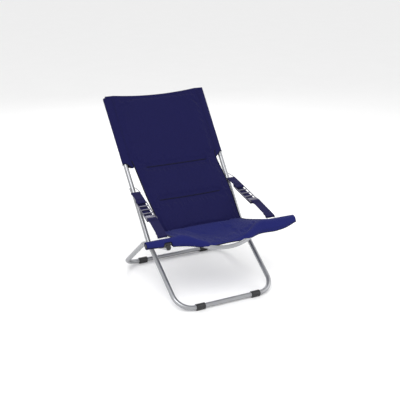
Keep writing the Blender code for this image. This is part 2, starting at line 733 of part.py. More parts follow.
def make_seat_sling(hinge):
    """From the fold forward between the tubes, then out over the bow to an ear on each horn."""
    fold = PIVOT + Vector((0, FOLD_Y, FOLD_Z - FOLD_DROP))
    lift = BOW_R + BOW_HEAD_H + 2 * CLEARANCE + FABRIC / 2
    horn = bow_centre(BOW_HALF_WIDTH)
    ear_rear = horn.y + BOW_R * 1.3
    ear_half = BOW_HALF_WIDTH + PLUG_RIM_H
    spread = [u / 10 for u in range(-10, 11)]

    def over_bow(x):
        """Where the sheet's middle surface passes over the bow, a little higher at mid-span."""
        bow = bow_centre(x)
        slope = (bow_centre(x + 0.001).z - bow_centre(x - 0.001).z) / 0.002
        rise = HEM_MID_CLEARANCE * (1 - smooth_step(abs(x) / 0.32))
        return Vector((x, bow.y, bow.z + lift * BOW_SLOPE_FACTOR * math.hypot(1, slope) + rise))

    def half_width(share):
        return FOLD_HALF_WIDTH + (NECK_HALF_WIDTH - FOLD_HALF_WIDTH) * smooth_step(share)

    def sheet_point(x, y, u):
        top = over_bow(x)
        reach = min((y - fold.y) / (top.y - fold.y), 1.0)
        sag = SEAT_SAG * math.sin(math.pi * reach) * (1 - u * u)
        return Vector((x, y, fold.z + (top.z - fold.z) * reach**SEAT_SHAPE - sag))

    rows = []
    for share in (0.0, 0.15, 0.3, 0.5, 0.7, 0.87, 1.0):
        y = fold.y + (ear_rear + EAR_FILLET - fold.y) * share
        rows.append([sheet_point(half_width(share) * u, y, u) for u in spread])
    flare = ear_half / NECK_HALF_WIDTH - 1
    across = [NECK_HALF_WIDTH * u * (1 + flare * smooth_step((abs(u) - 0.35) / 0.65)) for u in spread]
    for share in (0.0, 0.45, 1.0):
        row = []
        for x, u in zip(across, spread):
            rear = ear_rear + (over_bow(x).y - horn.y)
            front = over_bow(x).y - BOW_R * 1.5
            row.append(sheet_point(x, rear + (front - rear) * share, u))
        rows.append(row)
    hang(link("seat_sling", slab_mesh("seat_sling", rows, FABRIC), NAVY), hinge)


def main():
    clear_scene()
    hinge = hinge_empty("fold_hinge", PIVOT)
    make_back_frame()
    make_seat_frame(hinge)
    make_bow(hinge)
    make_pivots(hinge)
    make_bow_joints(hinge)
    make_plugs(hinge)
    make_feet(hinge)
    make_arms(hinge)
    make_back_sling()
    make_seat_sling(hinge)


main()
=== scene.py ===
"""Folding beach chair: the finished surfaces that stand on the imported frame.

Each piece is a surface worked out with numpy on a grid of two parameters, or a profile carried along
a path. Lengths are metres, +Z is up and the sitter faces -Y.
"""

import json
import math

import bmesh
import bpy
import numpy as np
from bpy.props import FloatProperty, FloatVectorProperty, IntProperty, PointerProperty
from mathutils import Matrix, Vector

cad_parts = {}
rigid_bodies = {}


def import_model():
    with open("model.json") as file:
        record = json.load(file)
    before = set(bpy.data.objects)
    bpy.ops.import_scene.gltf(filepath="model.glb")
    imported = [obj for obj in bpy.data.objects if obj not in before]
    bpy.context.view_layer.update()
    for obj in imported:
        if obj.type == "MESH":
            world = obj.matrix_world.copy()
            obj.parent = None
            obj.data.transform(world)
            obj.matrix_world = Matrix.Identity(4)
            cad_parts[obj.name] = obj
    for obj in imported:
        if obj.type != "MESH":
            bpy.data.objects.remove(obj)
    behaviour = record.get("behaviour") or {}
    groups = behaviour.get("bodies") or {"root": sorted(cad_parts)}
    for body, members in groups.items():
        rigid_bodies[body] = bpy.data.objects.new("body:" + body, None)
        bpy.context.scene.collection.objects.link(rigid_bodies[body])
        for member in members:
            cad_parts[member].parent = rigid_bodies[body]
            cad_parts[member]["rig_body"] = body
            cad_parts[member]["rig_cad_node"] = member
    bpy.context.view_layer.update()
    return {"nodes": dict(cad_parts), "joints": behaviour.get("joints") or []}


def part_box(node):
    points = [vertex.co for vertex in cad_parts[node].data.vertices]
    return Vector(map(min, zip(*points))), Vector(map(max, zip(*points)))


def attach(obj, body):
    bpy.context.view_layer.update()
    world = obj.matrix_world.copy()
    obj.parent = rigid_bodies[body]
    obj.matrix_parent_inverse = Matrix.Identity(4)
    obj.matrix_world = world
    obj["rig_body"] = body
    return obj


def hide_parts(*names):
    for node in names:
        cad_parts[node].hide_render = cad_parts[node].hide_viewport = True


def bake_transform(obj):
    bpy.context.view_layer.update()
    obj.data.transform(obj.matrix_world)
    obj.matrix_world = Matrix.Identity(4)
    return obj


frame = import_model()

bl_info = {
    "name": "Beach Chair Maker",
    "version": (1, 0, 0),
    "blender": (4, 5, 0),
    "location": "View3D > Sidebar > Beach Chair",
    "description": "Tubes, padded cloth, webbing and fittings of a folding beach chair",
    "category": "Add Mesh",
}

JOINTS = {joint["name"]: joint for joint in frame["joints"]}
PIVOT = np.array(JOINTS["fold"]["pos_m"])
SIDES = {"left": -1.0, "right": 1.0}
X = np.array([1.0, 0.0, 0.0])
Z = np.array([0.0, 0.0, 1.0])

# Tubes, as the frame has them
TUBE_R = 0.011
BOW_R = 0.009
BAR_HEIGHT = 0.0145
BACK_ANGLE = math.radians(50.8)
SEAT_ANGLE = math.radians(17.0)
BACK_DIR = np.array([0.0, math.cos(BACK_ANGLE), math.sin(BACK_ANGLE)])
BACK_FRONT = np.array([0.0, -math.sin(BACK_ANGLE), math.cos(BACK_ANGLE)])
SEAT_DIR = np.array([0.0, -math.cos(SEAT_ANGLE), math.sin(SEAT_ANGLE)])
SEAT_UP = np.array([0.0, math.sin(SEAT_ANGLE), math.cos(SEAT_ANGLE)])
BACK_LENGTH = 0.761
SEAT_LENGTH = 0.293
BACK_HALF = 0.250
BACK_SPLAY = 0.012
SEAT_HALF = 0.276
KINK_RADIUS = 0.090
CORNER_RADIUS = 0.080
FRONT_REACH = 0.318
REAR_REACH = 0.270
BOW_HALF = 0.372
BOW_DIP = 0.0805
BOW_DIP_ANGLE = math.radians(35.0)
BOW_MID_R = 0.255
BOW_END_R = 0.120
BOW_STATION = 0.281
BOW_LEVEL = 0.023
FRONT_BAR_HALF = 0.245
FOOT_HALF = 0.0225
SEAT_GAP = 0.0003

# Strap arms: places along each arm from its upper pin, and the lower loop's bar from the pivot
UPPER_PIN = 0.280
LOWER_PIN = 0.257
LOWER_BAR = np.array([0.0, -0.214, 0.1145])
LOOP_REACH = 0.048
LADDER_START = 0.130
LADDER_PITCH = 0.0295
HOOK_RUNG = 4
HOOK_DROP = 0.024
BAR_WRAP = 0.005

# Cloth
FOLD = PIVOT + np.array([0.0, -0.060, 0.066])
FOLD_HALF = 0.206
WAIST_HALF = 0.219
SLEEVE_START = 0.372
SLEEVE_INSET = 0.034
CLOTH_OFFSET = 0.0143
BACK_SAG = 0.012
SEAT_SAG = 0.010
SEAM_HEIGHTS = (0.3935, 0.517)
NECK_HALF = 0.238
POCKET_R = BOW_R + 0.0032
STIRRUP_HALF = 0.0265


# ---------------------------------------------------------------- surfaces

def smooth(value):
    """The S-curve 3t^2 - 2t^3 of a value held between 0 and 1."""
    t = np.clip(value, 0.0, 1.0)
    return t * t * (3 - 2 * t)


def unit(vectors):
    return vectors / np.linalg.norm(vectors, axis=-1, keepdims=True)


def ripple(u, v, seed, waves=7, low=4.0, high=16.0):
    """A sum of plane waves of random heading and phase over two parameters, between about -1 and 1."""
    rng = np.random.default_rng(seed)
    total = 0.0
    for _ in range(waves):
        heading, pitch, phase = rng.uniform(0, np.pi), rng.uniform(low, high), rng.uniform(0, 2 * np.pi)
        total = total + np.sin(pitch * (u * np.cos(heading) + v * np.sin(heading)) + phase)
    return total / waves


def add_piece(name, points, faces, uv=None, finish=None):
    """A mesh object from arrays of points, faces and the corner coordinates of its UV map."""
    mesh = bpy.data.meshes.new(name)
    mesh.from_pydata(points.reshape(-1, 3).tolist(), [], faces)
    if uv is not None:
        layer = mesh.uv_layers.new(name="cloth")
        layer.data.foreach_set("uv", np.asarray(uv, np.float32).ravel())
    obj = bpy.data.objects.new(name, mesh)
    bpy.context.scene.collection.objects.link(obj)
    if finish:
        mesh.materials.append(finish)
    mesh.shade_smooth()
    mesh.set_sharp_from_angle(angle=math.radians(40))
    return obj


def grid_faces(rows, columns, wrap_rows=False, wrap_columns=False, start=0):
    """Quads between neighbours of a grid, and the grid place of each corner for its UVs."""
    i, j = np.meshgrid(
        np.arange(rows if wrap_rows else rows - 1),
        np.arange(columns if wrap_columns else columns - 1),
        indexing="ij",
    )
    corners = [(i, j), (i, j + 1), (i + 1, j + 1), (i + 1, j)]
    faces = np.stack([start + (a % rows) * columns + b % columns for a, b in corners], -1).reshape(-1, 4)
    places = np.stack([np.stack([b, a], -1) for a, b in corners], -2).reshape(-1, 4, 2)
    return faces, places


def grid_piece(name, grid, finish, wrap_rows=False, wrap_columns=False, caps=False, uv=(1.0, 1.0)):
    """One surface over a grid of points; caps close the two end rows of a grid that wraps round."""
    rows, columns = grid.shape[:2]
    faces, places = grid_faces(rows, columns, wrap_rows, wrap_columns)
    faces = faces.tolist()
    corner_uv = (places * np.array(uv)).reshape(-1, 2)
    if caps:
        ends = [np.arange(columns)[::-1], (rows - 1) * columns + np.arange(columns)]
        faces += [end.tolist() for end in ends]
        corner_uv = np.vstack([corner_uv, np.zeros((2 * columns, 2))])
    return add_piece(name, grid, faces, corner_uv, finish)


def outward(obj):
    """Merges doubles and turns every face of a closed piece outwards."""
    bm = bmesh.new()
    bm.from_mesh(obj.data)
    bmesh.ops.remove_doubles(bm, verts=bm.verts, dist=1e-6)
    bmesh.ops.recalc_face_normals(bm, faces=bm.faces)
    bm.to_mesh(obj.data)
    bm.free()
    return obj


def joined(name, parts):
    """Several pieces made into one object, in their order."""
    arrays, faces, uvs, start = [], [], [], 0
    for part in parts:
        mesh = part.data
        co = np.empty(len(mesh.vertices) * 3)
        mesh.vertices.foreach_get("co", co)
        arrays.append(co.reshape(-1, 3))
        faces += [[start + v for v in polygon.vertices] for polygon in mesh.polygons]
        uv = np.zeros(len(mesh.loops) * 2)
        if mesh.uv_layers:
            mesh.uv_layers[0].data.foreach_get("uv", uv)
        uvs.append(uv.reshape(-1, 2))
        start += len(mesh.vertices)
    finish = parts[0].data.materials[0]
    for part in parts:
        bpy.data.objects.remove(part, do_unlink=True)
    return add_piece(name, np.vstack(arrays), faces, np.vstack(uvs), finish)


def rounded_path(corners, radii, step=math.radians(4.5)):
    """Straight runs joined by arcs: an arc's centre lies on the bisector, radius / sin(half angle) away."""
    corners = [np.asarray(c, float) for c in corners]
    points = [corners[0][None]]
    for before, corner, after, radius in zip(corners, corners[1:], corners[2:], radii):
        back, ahead = unit(before - corner), unit(after - corner)
        half = math.acos(float(np.clip(back @ ahead, -1, 1))) / 2
        centre = corner + unit(back + ahead) * radius / math.sin(half)
        start = corner + back * radius / math.tan(half) - centre
        side = unit(np.cross(np.cross(back, ahead), start)) * radius
        turn = math.pi - 2 * half
        angles = np.linspace(0, turn, max(3, math.ceil(turn / step) + 1))[:, None]
        flip = 1.0 if side @ ahead > 0 else -1.0
        points.append(centre + start * np.cos(angles) + side * flip * np.sin(angles))
    points.append(corners[-1][None])
    return np.vstack(points)


def carried(path, profile, reference, closed=False):
    """A 2-D profile carried along a path: point = path + side * first + up * second.

    The side is the reference direction made square to the path's tangent, and up is tangent x side.
    """
    ahead = np.roll(path, -1, 0) - path
    behind = path - np.roll(path, 1, 0)
    if not closed:
        ahead[-1], behind[0] = behind[-1], ahead[0]
    tangent = unit(unit(ahead) + unit(behind))
    side = np.asarray(reference) - (tangent @ np.asarray(reference))[:, None] * tangent
    side = unit(side)
    up = np.cross(tangent, side)
    profile = np.asarray(profile)
    return path[:, None] + side[:, None] * profile[None, :, :1] + up[:, None] * profile[None, :, 1:]


def circle(radius, sides):
    angles = np.arange(sides) * 2 * np.pi / sides
    return np.stack([radius * np.cos(angles), radius * np.sin(angles)], -1)


def tube(name, path, radius, reference, finish, sides=28, closed=False):
    """A round section carried along a path, closed with flat ends unless it is a ring."""
    grid = carried(path, circle(radius, sides), reference, closed)
    return outward(grid_piece(name, grid, finish, wrap_rows=closed, wrap_columns=True, caps=not closed))


def turned(name, profile, centre, axis, finish, sides=40, ring=False):
    """Turns (radius, height) points about an axis: centre + axis * height + radius * (cos, sin)."""
    axis = unit(np.asarray(axis, float))
    first = unit(np.cross(axis, X if abs(axis[0]) < 0.9 else Z))
    second = np.cross(axis, first)
    profile = np.asarray(profile)
    angles = np.arange(sides) * 2 * np.pi / sides
    rim = np.cos(angles)[:, None] * first + np.sin(angles)[:, None] * second
    grid = np.asarray(centre) + profile[:, None, 1:] * axis + profile[:, None, :1] * rim[None]
    return outward(grid_piece(name, grid, finish, wrap_rows=ring, wrap_columns=True))


def fillet(start, end, steps=6):
    """A quarter turn of an ellipse between two profile points, for rounded rims."""
    (low_r, low_h), (high_r, high_h) = start, end
    return [
        (low_r + (high_r - low_r) * (1 - math.cos(a)), low_h + (high_h - low_h) * math.sin(a))
        for a in np.linspace(0, np.pi / 2, steps)
    ]


def finer(obj):
    """Rounds a piece with one subdivision."""
    modifier = obj.modifiers.new("finer", "SUBSURF")
    modifier.levels = modifier.render_levels = 1
    return obj


def thick(obj, amount):
    """Gives a sheet its wall, half to each side, and rounds it."""
    wall = obj.modifiers.new("wall", "SOLIDIFY")
    wall.thickness = amount
    wall.offset = 0.0
    return finer(obj)


# ---------------------------------------------------------------- the frame's lines

def back_point(distance, side=0.0):
    """A point up a backrest tube's centre line from the pivot."""
    distance = np.asarray(distance, float)
    across = side * (BACK_HALF + BACK_SPLAY * distance / BACK_LENGTH)
    return PIVOT + distance[..., None] * BACK_DIR + across[..., None] * X


def seat_point(distance, side):
    return PIVOT + distance * SEAT_DIR + side * SEAT_HALF * X


def frame_corners(arm, arm_end, half, bar_y, bar_half):
    """Corners of a bent frame from its right end to its left, with the bends passing through the pivot."""
    leg = unit(np.array([0.0, bar_y - PIVOT[1], BAR_HEIGHT - PIVOT[2]]))
    bisector = unit(arm + leg)
    opening = math.acos(float(arm @ leg)) / 2
    kink = PIVOT + half * X - bisector * KINK_RADIUS * (1 / math.sin(opening) - 1)
    right = [arm_end, kink, np.array([bar_half, bar_y, BAR_HEIGHT])]
    return right + [p * (-1, 1, 1) for p in reversed(right)]


def bow_centre(across):
    """The bow's centre line: straight horns, then two arcs each side down to the middle."""
    x = np.abs(np.asarray(across, float))
    reach = BOW_MID_R + BOW_END_R
    span = reach * math.sin(math.acos(1 - BOW_DIP / reach))
    split = BOW_MID_R * span / reach
    outer = BOW_END_R - np.sqrt(np.maximum(BOW_END_R**2 - np.clip(span - x, 0, BOW_END_R) ** 2, 0))
    inner = BOW_DIP - BOW_MID_R + np.sqrt(BOW_MID_R**2 - np.minimum(x, split) ** 2)
    drop = np.where(x >= span, 0.0, np.where(x > split, outer, inner))
    down = np.array([0.0, -math.cos(BOW_DIP_ANGLE), -math.sin(BOW_DIP_ANGLE)])
    start = PIVOT + SEAT_DIR * BOW_STATION + SEAT_UP * BOW_LEVEL
    return start + drop[..., None] * down + np.asarray(across, float)[..., None] * X


# ---------------------------------------------------------------- finishes

class Socket:
    """A shader socket that adds Math nodes when it is used in an expression."""

    def __init__(self, maker, link):
        self.maker, self.link = maker, link

    def math(self, operation, other, reflected=False):
        values = (other, self) if reflected else (self, other)
        return self.maker.node("ShaderNodeMath", {"operation": operation}, values)

    def __add__(self, other):
        return self.math("ADD", other)

    def __sub__(self, other):
        return self.math("SUBTRACT", other)

    def __mul__(self, other):
        return self.math("MULTIPLY", other)

    def __rsub__(self, other):
        return self.math("SUBTRACT", other, reflected=True)

    __radd__ = __add__
    __rmul__ = __mul__

    def sine(self):
        return self.maker.node("ShaderNodeMath", {"operation": "SINE"}, (self,))

    def held(self):
        return self.maker.node("ShaderNodeMath", {"operation": "ADD", "use_clamp": True}, (self, 0.0))


class Finish:
    """Builds one material round a Principled BSDF."""

    def __init__(self, name, metallic=0.0, **fixed):
        self.material = bpy.data.materials.new(name)
        self.material.use_nodes = True
        self.tree = self.material.node_tree
        self.shader = self.tree.nodes["Principled BSDF"]
        self.shader.inputs["Metallic"].default_value = metallic
        for socket, value in fixed.items():
            self.shader.inputs[socket.replace("_", " ").title()].default_value = value

    def node(self, kind, settings=None, values=(), output=0):
        """Adds a node, sets it up, then fills its sockets with numbers or links, by order or by name."""
        made = self.tree.nodes.new(kind)
        for key, value in (settings or {}).items():
            if key == "stops":
                ramp = made.color_ramp
                for index, (place, colour) in enumerate(value):
                    stop = ramp.elements[index] if index < 2 else ramp.elements.new(place)
                    stop.position, stop.color = place, colour
            else:
                setattr(made, key, value)
        pairs = values.items() if isinstance(values, dict) else enumerate(values)
        for key, value in pairs:
            if isinstance(value, Socket):
                self.tree.links.new(value.link, made.inputs[key])
            else:
                made.inputs[key].default_value = value
        return Socket(self, made.outputs[output])

    def objects(self):
        return self.node("ShaderNodeTexCoord", output="Object")

    def noise(self, vector, scale, detail=3.0, roughness=0.55):
        values = {"Vector": vector, "Scale": scale, "Detail": detail, "Roughness": roughness}
        return self.node("ShaderNodeTexNoise", None, values, "Fac")

    def flecks(self, vector, scale, low, high, detail=3.0):
        """Spots of noise: 0 where it is under the low value, 1 where it is over the high one."""
        stops = [(low, (0, 0, 0, 1)), (high, (1, 1, 1, 1))]
        return self.node("ShaderNodeValToRGB", {"stops": stops}, (self.noise(vector, scale, detail),))

    def blend(self, factor, first, second):
        """A colour between two colours, either of which may itself be a link."""
        pick = {"Factor": factor, 6: first, 7: second}
        return self.node("ShaderNodeMix", {"data_type": "RGBA"}, pick, 2)

    def feed(self, socket, value):
        self.tree.links.new(value.link, self.shader.inputs[socket])

    def bump(self, height, distance, strength=1.0):
        values = {"Height": height, "Distance": distance, "Strength": strength}
        self.feed("Normal", self.node("ShaderNodeBump", None, values))


def opaque(colour, gain=1.0):
    return (*(min(c * gain, 1.0) for c in colour[:3]), 1.0)


def steel_finish(name, colour, rough, wear=0.25, metallic=1.0):
    """Satin plated steel: cloudy plating, fine drawn scratches and a few dull spots."""
    made = Finish(name, metallic=metallic)
    where = made.objects()
    clouds = made.noise(where, 18.0)
    stretched = made.node("ShaderNodeMapping", None, {"Vector": where, "Scale": (900.0, 60.0, 60.0)})
    drawn = made.noise(stretched, 1.0, 2.0)
    spots = made.flecks(where, 140.0, 0.60, 0.72)
    tone = made.blend(clouds, opaque(colour, 0.86), opaque(colour, 1.08))
    tone = made.blend(spots * wear, tone, opaque(colour, 0.6))
    made.feed("Base Color", tone)
    made.feed("Roughness", (drawn * 0.12 + clouds * 0.10 + (rough - 0.10) + spots * (wear * 0.3)).held())
    made.bump(drawn * 0.5 + made.noise(where, 900.0, 2.0) * 0.5, 0.00003)
    return made.material


def plastic_finish(name, colour):
    """Moulded plastic: a fine spark grain with slight scuffs that catch the light."""
    made = Finish(name)
    where = made.objects()
    grain = made.noise(where, 2600.0, 2.0)
    scuff = made.flecks(where, 90.0, 0.58, 0.75, 4.0)
    made.feed("Base Color", made.blend(scuff * 0.35, opaque(colour), opaque((0.06, 0.06, 0.065))))
    made.feed("Roughness", (made.noise(where, 60.0) * 0.15 + 0.38 + scuff * 0.15).held())
    made.bump(grain, 0.00005)
    return made.material


def woven_finish(name, colour, pitch, relief=0.00018):
    """Plain woven cloth: crossed sine threads on the cloth's own UVs, with slubs and faint wear."""
    made = Finish(name, sheen_weight=0.04, sheen_roughness=0.4)
    made.shader.inputs["Specular IOR Level"].default_value = 0.15
    place = made.node("ShaderNodeUVMap", {"uv_map": "cloth"})
    split = made.node("ShaderNodeSeparateXYZ", None, (place,))
    across, along = Socket(made, split.link.node.outputs[0]), Socket(made, split.link.node.outputs[1])
    rate = 2 * math.pi / pitch
    warp, weft = (across * rate).sine(), (along * rate).sine()
    over = (warp * weft) * 0.5 + 0.5
    threads = (warp * warp) * over + (weft * weft) * (1 - over)
    stretched = made.node("ShaderNodeMapping", None, {"Vector": place, "Scale": (70.0, 900.0, 1.0)})
    slub = made.noise(stretched, 1.0, 2.0)
    fade = made.noise(made.objects(), 9.0, 4.0)
    tone = made.blend((threads * 0.5 + slub * 0.5).held(), opaque(colour, 0.62), opaque(colour, 1.35))
    tone = made.blend(fade * 0.5, tone, opaque(colour, 1.25))
    made.feed("Base Color", tone)
    made.feed("Roughness", (slub * 0.12 + 0.78 - threads * 0.08).held())
    made.bump(threads * 0.8 + slub * 0.3 + made.noise(made.objects(), 160.0) * 0.4, relief)
    return made.material


def finish_of(name):
    """The chair's finishes, each made once."""
    found = bpy.data.materials.get(name)
    if found:
        return found
    look = bpy.context.scene.chair_looks
    makers = {
        "satin_tube": lambda: steel_finish(name, look.tube_colour, 0.34, metallic=0.85),
        "bright_zinc": lambda: steel_finish(name, look.fitting_colour, 0.24, 0.15),
        "buckle_plate": lambda: steel_finish(name, look.buckle_colour, 0.32, 0.2, metallic=0.75),
        "black_moulding": lambda: plastic_finish(name, look.plastic_colour),
        "navy_cloth": lambda: woven_finish(name, look.cloth_colour, look.weave_pitch),
        "blue_cloth": lambda: woven_finish(name, look.seat_colour, look.weave_pitch),
        # navy_binding also colours the tubes that paint the shadow lines of the back pad's quilt seams.
        "navy_binding": lambda: woven_finish(name, look.binding_colour, 0.0009),
        "navy_webbing": lambda: woven_finish(name, look.webbing_colour, 0.0022, 0.00035),
        "navy_thread": lambda: woven_finish(name, look.thread_colour, 0.0006),
    }
    return makers[name]()


def length_property(name, description, default, low, high):
    return FloatProperty(name=name, description=description, default=default, min=low, max=high,
                         unit="LENGTH")


def count_property(name, description, default, low, high):
    return IntProperty(name=name, description=description, default=default, min=low, max=high)


def colour_property(name, description, default):
    return FloatVectorProperty(name=name, description=description, default=default, min=0, max=1,
                               subtype="COLOR")


class ChairSizes(bpy.types.PropertyGroup):
    """Sizes of the soft parts that can change without touching the frame."""

    padding: length_property("Padding", "Thickness of the quilted pad at its fullest", 0.0120, 0.004, 0.02)
    edge: length_property("Edge", "Thickness of the cloth where it is sewn flat", 0.0030, 0.002, 0.006)
    cord_radius: length_property("Binding radius", "Half the bound edges' thickness", 0.0028, 0.001, 0.004)
    stitch: length_property("Stitch", "Length of one stitch and its gap", 0.0042, 0.002, 0.008)
    strap_width: length_property("Strap width", "Width of the webbing", 0.044, 0.03, 0.045)
    strap_thickness: length_property("Strap thickness", "Thickness of the webbing", 0.0025, 0.001, 0.0026)
    tube_sides: count_property("Tube sides", "Sides of the smooth tubes", 28, 12, 64)
    swell_frames: count_property("Swell steps", "Steps of the cloth simulation", 20, 4, 60)


class ChairLooks(bpy.types.PropertyGroup):
    """Colours of the chair's finishes."""

    tube_colour: colour_property("Tube", "Satin steel tube", (0.36, 0.365, 0.38))
    fitting_colour: colour_property("Fittings", "Rivets and wire loops", (0.42, 0.43, 0.45))
    buckle_colour: colour_property("Buckles", "Ladders and hooks", (0.17, 0.165, 0.21))
    plastic_colour: colour_property("Mouldings", "Feet, plugs and saddles", (0.012, 0.012, 0.014))
    cloth_colour: colour_property("Cloth", "Woven sling of the back", (0.0046, 0.0044, 0.046))
    seat_colour: colour_property("Seat cloth", "Woven sling of the seat", (0.0078, 0.0105, 0.095))
    # The binding colour is also the colour of the painted shadow lines along the back pad's quilt seams.
    binding_colour: colour_property("Binding", "Bound edges", (0.004, 0.004, 0.012))
    webbing_colour: colour_property("Webbing", "Arm straps", (0.0080, 0.0070, 0.050))
    thread_colour: colour_property("Thread", "Stitching", (0.010, 0.010, 0.045))
    weave_pitch: length_property("Weave pitch", "Width of two threads of the cloth", 0.0016, 0.0005, 0.005)


# ---------------------------------------------------------------- cloth surfaces

def back_half_width(share):
    """Half the pad's width: narrow between the tubes, then up to the sleeve seams."""
    waist = FOLD_HALF + (WAIST_HALF - FOLD_HALF) * smooth(share / 0.30)
    top = BACK_HALF + BACK_SPLAY - SLEEVE_INSET
    return waist + (top - WAIST_HALF) * smooth((share - 0.47) / 0.10)


def back_surface(u, v):
    """The back pad's middle surface: u is -1 to 1 across, v is 0 at the fold to 1 at the top.

    Below the sleeves it runs straight from the fold to the sleeves' foot, above them along the tubes'
    fronts; the corner between the two runs is rounded, and the middle sags backwards.
    """
    foot = PIVOT + BACK_DIR * SLEEVE_START + BACK_FRONT * CLOTH_OFFSET
    top = PIVOT + BACK_DIR * (BACK_LENGTH + 0.003) + BACK_FRONT * CLOTH_OFFSET
    low, high = np.linalg.norm(foot - FOLD), np.linalg.norm(top - foot)
    total, round_off = low + high, 0.05
    along = v * total - low
    rounded = (along + round_off) ** 2 / (4 * round_off)
    bend = np.where(np.abs(along) < round_off, rounded, np.maximum(along, 0.0))
    lower, upper = unit(foot - FOLD), unit(top - foot)
    line = foot + along[..., None] * lower + bend[..., None] * (upper - lower)
    share = v * total / low
    hollow = np.where(share < 1, 0.4 - u * u, 0.0) * np.sin(np.pi * np.clip(share, 0, 1))
    upper_hollow = 0.7 * np.clip(1 - (u / 0.98) ** 2, 0, 1) * smooth((share - 0.85) / 0.3)
    crest = 0.011 * np.clip(1 - u * u, 0, 1) * smooth((v - 0.93) / 0.07)
    sag = BACK_SAG * (hollow + upper_hollow)
    across = (u * back_half_width(v))[..., None] * X
    return line + across - sag[..., None] * BACK_FRONT - crest[..., None] * BACK_DIR


def hang_slack(piece):
    """Bakes a piece's placement into its points; the piece is attached to neither body."""
    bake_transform(piece)


def back_seams():
    """The pad's cross seams as shares of its height, found from the heights they are sewn at."""
    v = np.linspace(0, 1, 400)
    heights = back_surface(np.zeros_like(v), v)[:, 2]
    return [float(np.interp(h, heights, v)) for h in SEAM_HEIGHTS]


def over_bow(x):
    """Where the seat's middle surface passes over the bow."""
    bow = bow_centre(x)
    near, far = bow_centre(x - 0.001), bow_centre(x + 0.001)
    slope = (far[..., 2] - near[..., 2]) / 0.002
    rise = 0.005 * (1 - smooth(np.abs(x) / 0.32))
    lift = (BOW_R + 0.0018 + 0.0025) * 1.12 * np.hypot(1, slope)
    return bow + (lift + rise)[..., None] * Z


def pocket_rear(x):
    """How far behind the bow the pocket's seam runs: wide in the middle, tight on the horns."""
    return 0.030 - 0.0165 * smooth((np.abs(x) - 0.200) / 0.050)


def seat_height(x, y):
    """The seat's middle surface: a power curve from the fold up to the bow, with a shallow sag."""
    top = over_bow(x)
    fold_y, fold_z = FOLD[1] + 0.006, FOLD[2] - 0.0010
    reach = np.clip((y - fold_y) / (top[..., 1] - fold_y), 0.0, 1.0)
    edge = np.clip(np.abs(x) / NECK_HALF, 0, 1)
    return fold_z + (top[..., 2] - fold_z) * reach**1.15 - SEAT_SAG * np.sin(np.pi * reach) * (1 - edge**2)


def seat_surface(u, v):
    """The seat pad's middle surface: u is -1 to 1 across, v is 0 at the fold to 1 at the pocket seam."""
    x = u * (FOLD_HALF + (NECK_HALF - FOLD_HALF) * smooth(v))
    front = bow_centre(x)[..., 1] + pocket_rear(x)
    y = FOLD[1] + 0.006 + (front - FOLD[1] - 0.006) * v
    return np.stack([x, y, seat_height(x, y)], -1)


def quilt(u, v, seams, border, band=0.022, length=0.60, width=0.22, foot=0.55):
    """How full the pad is: 0 at its edges and seams, 1 between them, and partly full at the fold."""
    across = smooth((1 - np.abs(u)) * width / border)
    ends = np.minimum(foot + (1 - foot) * smooth(v * length / border), smooth((1 - v) * length / border))
    fill = across * ends
    for seam in seams:
        groove = np.exp(-((v - seam) * length / band) ** 2) * smooth((0.80 - np.abs(u)) / 0.10)
        fill = fill * (1 - groove)
    return fill


def pad_piece(name, surface, rows, columns, fill, finish, scale):
    """A closed quilted pad: the middle surface pushed both ways along its normal by half its thickness."""
    sizes = bpy.context.scene.chair_sizes
    v, u = np.meshgrid(np.linspace(0, 1, rows), np.linspace(-1, 1, columns), indexing="ij")
    middle = surface(u, v)
    normal = unit(np.cross(np.gradient(middle, axis=1), np.gradient(middle, axis=0)))
    full = fill(u, v)
    half = (sizes.edge + (sizes.padding - sizes.edge) * 0.75 * full) / 2
    pucker = 0.0007 * ripple(u * 9, v * 9, 3) * full
    front = middle + normal * (half + pucker)[..., None]
    rear = middle - normal * (half - pucker * 0.5)[..., None]
    count = rows * columns
    face_a, place = grid_faces(rows, columns)
    face_b = face_a[:, ::-1] + count
    ring = np.concatenate([
        np.arange(columns), np.arange(1, rows) * columns + columns - 1,
        (rows - 1) * columns + np.arange(columns - 2, -1, -1), np.arange(rows - 2, 0, -1) * columns,
    ])
    after = np.roll(ring, -1)
    rim = np.stack([after, ring, ring + count, after + count], -1)
    uv_a = place.reshape(-1, 2) * scale
    uv_b = place[:, ::-1].reshape(-1, 2) * scale
    uv_rim = np.zeros((len(rim) * 4, 2))
    faces = np.vstack([face_a, face_b, rim]).tolist()
    obj = add_piece(name, np.concatenate([front, rear]), faces, np.vstack([uv_a, uv_b, uv_rim]), finish)
    return obj, np.concatenate([full.ravel(), full.ravel()])


